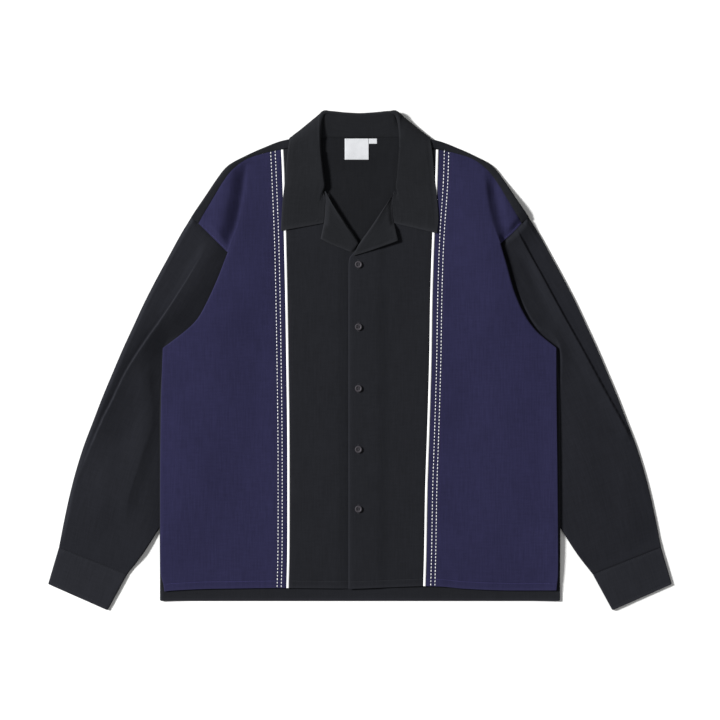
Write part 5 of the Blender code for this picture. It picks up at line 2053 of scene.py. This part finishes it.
@dataclass
class Buttons:
    """Five resin buttons down the lapped front, with thread and buttonholes."""

    x: float = -2.3
    heights: tuple[float, ...] = (148.0, 51.2, -44.2, -138.7, -231.0)
    turned: tuple[float, ...] = (8.0, -14.0, 3.0, 21.0, -6.0)
    profile: tuple[Pair, ...] = (
        (0.0, 1.55), (1.0, 1.55), (2.1, 1.58), (2.9, 1.72), (3.35, 2.15), (3.9, 2.42),
        (4.6, 2.5), (5.15, 2.32), (5.45, 1.9), (5.5, 1.3), (5.35, 0.75), (4.9, 0.35),
        (4.2, 0.1), (3.0, 0.0), (0.0, 0.0),
    )
    hole: float = 0.85
    spacing: float = 1.3
    steps: int = 48
    slot_side: float = 0.85
    slot_reach: float = 6.6
    slot_end: float = 7.2
    bar_pitch: float = 0.62

    def blank(self) -> Mesh:
        """Turned button about its own middle with four drilled holes.

        The profile is carried round the axis, its two poles closed by fans, and
        four cylinders are cut out of it.

        Returns:
            The mesh, in millimetres.
        """
        rows = np.array(self.profile)[1:-1]
        turn = np.arange(self.steps) * 2 * np.pi / self.steps
        ring = np.stack((np.cos(turn), np.sin(turn)), -1)
        level = np.repeat(rows[:, 1:], self.steps, axis=1)
        points = np.dstack((rows[:, None, :1] * ring[None], level))
        ends = np.array(((0.0, 0.0, self.profile[0][1]), (0.0, 0.0, 0.0)))
        index = np.arange(len(rows) * self.steps).reshape(len(rows), self.steps)
        after = np.roll(index, -1, axis=1)
        walls = np.stack((index[:-1], index[1:], after[1:], after[:-1]), -1).reshape(-1, 4)
        pole = index.size
        top = np.stack((np.full(self.steps, pole), index[0], after[0]), -1)
        base = np.stack((np.full(self.steps, pole + 1), after[-1], index[-1]), -1)
        mesh = bpy.data.meshes.new("button_blank")
        faces = [face for part in (walls, top, base) for face in part.tolist()]
        mesh.from_pydata(np.vstack((points.reshape(-1, 3), ends)), [], faces)
        return mesh

    def drill(self) -> Mesh:
        """Four round bars, side by side, that cut the holes.

        Returns:
            The mesh, in millimetres.
        """
        turn = np.arange(16) * np.pi / 8
        ring = np.column_stack((np.cos(turn), np.sin(turn), np.zeros(16))) * self.hole
        bar = np.concatenate((ring - (0.0, 0.0, 1.0), ring + (0.0, 0.0, 4.0)))
        signs = np.array(((-1, -1, 0), (-1, 1, 0), (1, -1, 0), (1, 1, 0)))
        points = bar[None] + self.spacing * signs[:, None, :]
        quads = bar_quads(2, 16)[None] + 32 * np.arange(4)[:, None, None]
        mesh = bpy.data.meshes.new("button_drill")
        mesh.from_pydata(points.reshape(-1, 3), [], quads.reshape(-1, 4).tolist())
        return mesh

    def drilled(self) -> Mesh:
        """Button after its holes are cut and its rims are eased.

        Returns:
            The mesh, in millimetres.
        """
        button = bpy.data.objects.new("button_blank", self.blank())
        drill = bpy.data.objects.new("button_drill", self.drill())
        for item in (button, drill):
            bpy.context.scene.collection.objects.link(item)
        cut = button.modifiers.new("holes", "BOOLEAN")
        cut.operation, cut.solver, cut.object = "DIFFERENCE", "EXACT", drill
        ease = button.modifiers.new("rims", "BEVEL")
        ease.width, ease.segments, ease.limit_method = 0.12, 2, "ANGLE"
        ease.angle_limit = np.radians(50)
        graph = bpy.context.evaluated_depsgraph_get()
        mesh = bpy.data.meshes.new_from_object(button.evaluated_get(graph))
        for item in (button, drill):
            bpy.data.objects.remove(item, do_unlink=True)
        return mesh

    def front(self, x: Array, y: Array) -> Array:
        """Height of the lapped front."""
        return LAY.front_top(x, y) + LAY.overlap(x)

    def buttonhole(self, y: float) -> list[tuple[Array, Array]]:
        """Middles and directions of the satin stitches round a buttonhole.

        Args:
            y: height of the button's middle.

        Returns:
            One pair of arrays for each long side and each end.
        """
        rise = np.arange(-self.slot_reach, self.slot_reach + 0.1, self.bar_pitch)
        found = []
        for side in (-1.0, 1.0):
            x = np.full_like(rise, self.x + side * self.slot_side)
            found.append((x, y + rise, np.array((1.0, 0.1, 0.0))))
        for end in (-1.0, 1.0):
            x = self.x + np.arange(-1.2, 1.3, 0.6)
            found.append((x, np.full_like(x, y + end * self.slot_end), np.array((0.1, 1.0, 0.0))))
        pairs = []
        for x, high, direction in found:
            level = self.front(x, high) - 0.02
            middles = np.column_stack((x, high, level))
            pairs.append((middles, np.tile(direction, (len(x), 1))))
        return pairs

    def build(self) -> None:
        """Make the buttons, their thread and the buttonholes under them."""
        blank = self.drilled()
        count = len(blank.vertices)
        co = np.zeros(count * 3, np.float32)
        blank.vertices.foreach_get("co", co)
        co = co.reshape(-1, 3)
        bars, holes = [], []
        for number, (y, angle) in enumerate(zip(self.heights, np.radians(self.turned)), 1):
            level = float(self.front(np.array([self.x]), np.array([y]))[0]) + 0.25
            turn = np.array(((np.cos(angle), np.sin(angle)), (-np.sin(angle), np.cos(angle))))
            placed = co.copy()
            placed[:, :2] = co[:, :2] @ turn
            placed += (self.x, y, level)
            mesh = blank.copy()
            mesh.vertices.foreach_set("co", np.float32(placed * MM).ravel())
            mesh.update()
            mesh.shade_smooth()
            mesh.set_sharp_from_angle(angle=np.radians(40))
            settle(f"resin_button_{number}", mesh, BUTTON_RESIN, f"button_{number}")
            for side in (-1.0, 1.0):
                middle = np.array((side * self.spacing, 0.0)) @ turn
                ahead = np.array((0.0, 1.0)) @ turn
                bars.append(((*(middle + (self.x, y)), level + 1.75), (*ahead, 0.0)))
            holes += self.buttonhole(y)
        thread = Stitches(3.9, 0.85, 4.0, BLACK_THREAD, 0.0)
        middles, directions = (np.array(part) for part in zip(*bars))
        settle("button_thread", thread.mesh("button_thread", middles, directions), BLACK_THREAD)
        satin = Stitches(1.5, 0.5, self.bar_pitch, BLACK_THREAD, 0.03)
        middles, directions = (np.concatenate(part) for part in zip(*holes))
        settle("buttonholes", satin.mesh("buttonholes", middles, directions), BLACK_THREAD)


@dataclass
class Studio:
    """Pale floor, a soft key from the upper left, a weaker fill, even white
    surroundings, and a camera that looks straight down."""

    floor_side: float = 60.0
    floor_level: float = -0.0001
    distance: float = 3.725
    lens: float = 120.0
    surround: float = 0.22
    key: tuple[float, float, float] = (-7.6, 2.4, 5.6)
    key_size: float = 1.7
    key_power: float = 1760.0
    fill: tuple[float, float, float] = (5.2, -1.6, 5.2)
    fill_size: float = 5.0
    fill_power: float = 66.0

    def floor(self) -> None:
        """Large sheet of paper a tenth of a millimetre under the garment."""
        half = 0.5 * self.floor_side
        mesh = bpy.data.meshes.new("studio_floor")
        corners = np.array(((-half, -half), (half, -half), (half, half), (-half, half)))
        mesh.from_pydata(np.column_stack((corners, np.full(4, self.floor_level))), [], [(0, 1, 2, 3)])
        mesh.materials.append(StudioPaper().material())
        floor = bpy.data.objects.new("studio_floor", mesh)
        bpy.context.scene.collection.objects.link(floor)

    def light(self, name: str, place: tuple, size: float, power: float) -> None:
        """Square area light at a place, turned to the garment.

        Args:
            name: name of the light.
            place: its middle in metres.
            size: its side in metres.
            power: watts.
        """
        data = bpy.data.lights.new(name, "AREA")
        data.shape, data.size, data.energy = "SQUARE", size, power
        light = bpy.data.objects.new(name, data)
        light.location = place
        light.rotation_euler = (-Vector(place)).to_track_quat("-Z", "Y").to_euler()
        light.visible_camera = False
        bpy.context.scene.collection.objects.link(light)

    def camera(self) -> None:
        """Camera straight above the middle of the garment, collar up."""
        low, high = np.array(CAD_BOX)
        data = bpy.data.cameras.new("camera")
        data.lens, data.sensor_width, data.clip_end = self.lens, 36.0, 100.0
        camera = bpy.data.objects.new("camera", data)
        middle = 0.5 * (low + high)
        camera.location = (middle[0], middle[1], self.distance)
        bpy.context.scene.collection.objects.link(camera)
        bpy.context.scene.camera = camera

    def build(self) -> None:
        """Set up the floor, the lights, the surroundings and the camera."""
        scene = bpy.context.scene
        scene.view_settings.view_transform = "Standard"
        world = bpy.data.worlds.new("studio")
        world.use_nodes = True
        background = world.node_tree.nodes["Background"]
        background.inputs["Color"].default_value = (1.0, 1.0, 1.0, 1.0)
        background.inputs["Strength"].default_value = self.surround
        scene.world = world
        self.floor()
        self.light("key", self.key, self.key_size, self.key_power)
        self.light("fill", self.fill, self.fill_size, self.fill_power)
        self.camera()


def main() -> None:
    """Build the studio and every piece in order."""
    logging.basicConfig(level=logging.INFO, format="%(message)s")
    Studio().build()
    Back().build()
    Sleeve(Side.LEFT, LEFT_TUCK, LEFT_CREASES).build()
    Sleeve(Side.RIGHT, RIGHT_TUCK, RIGHT_CREASES, bank=6.4, loft=0.2).build()
    for side in Side:
        Front(side).build()
    Collar().build()
    for side, tip_lift in ((Side.LEFT, 0.8), (Side.RIGHT, 2.4)):
        Lapel(side, tip_lift).build()
    NeckLabel().build()
    Buttons().build()
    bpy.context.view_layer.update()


if __name__ == "__main__":
    main()
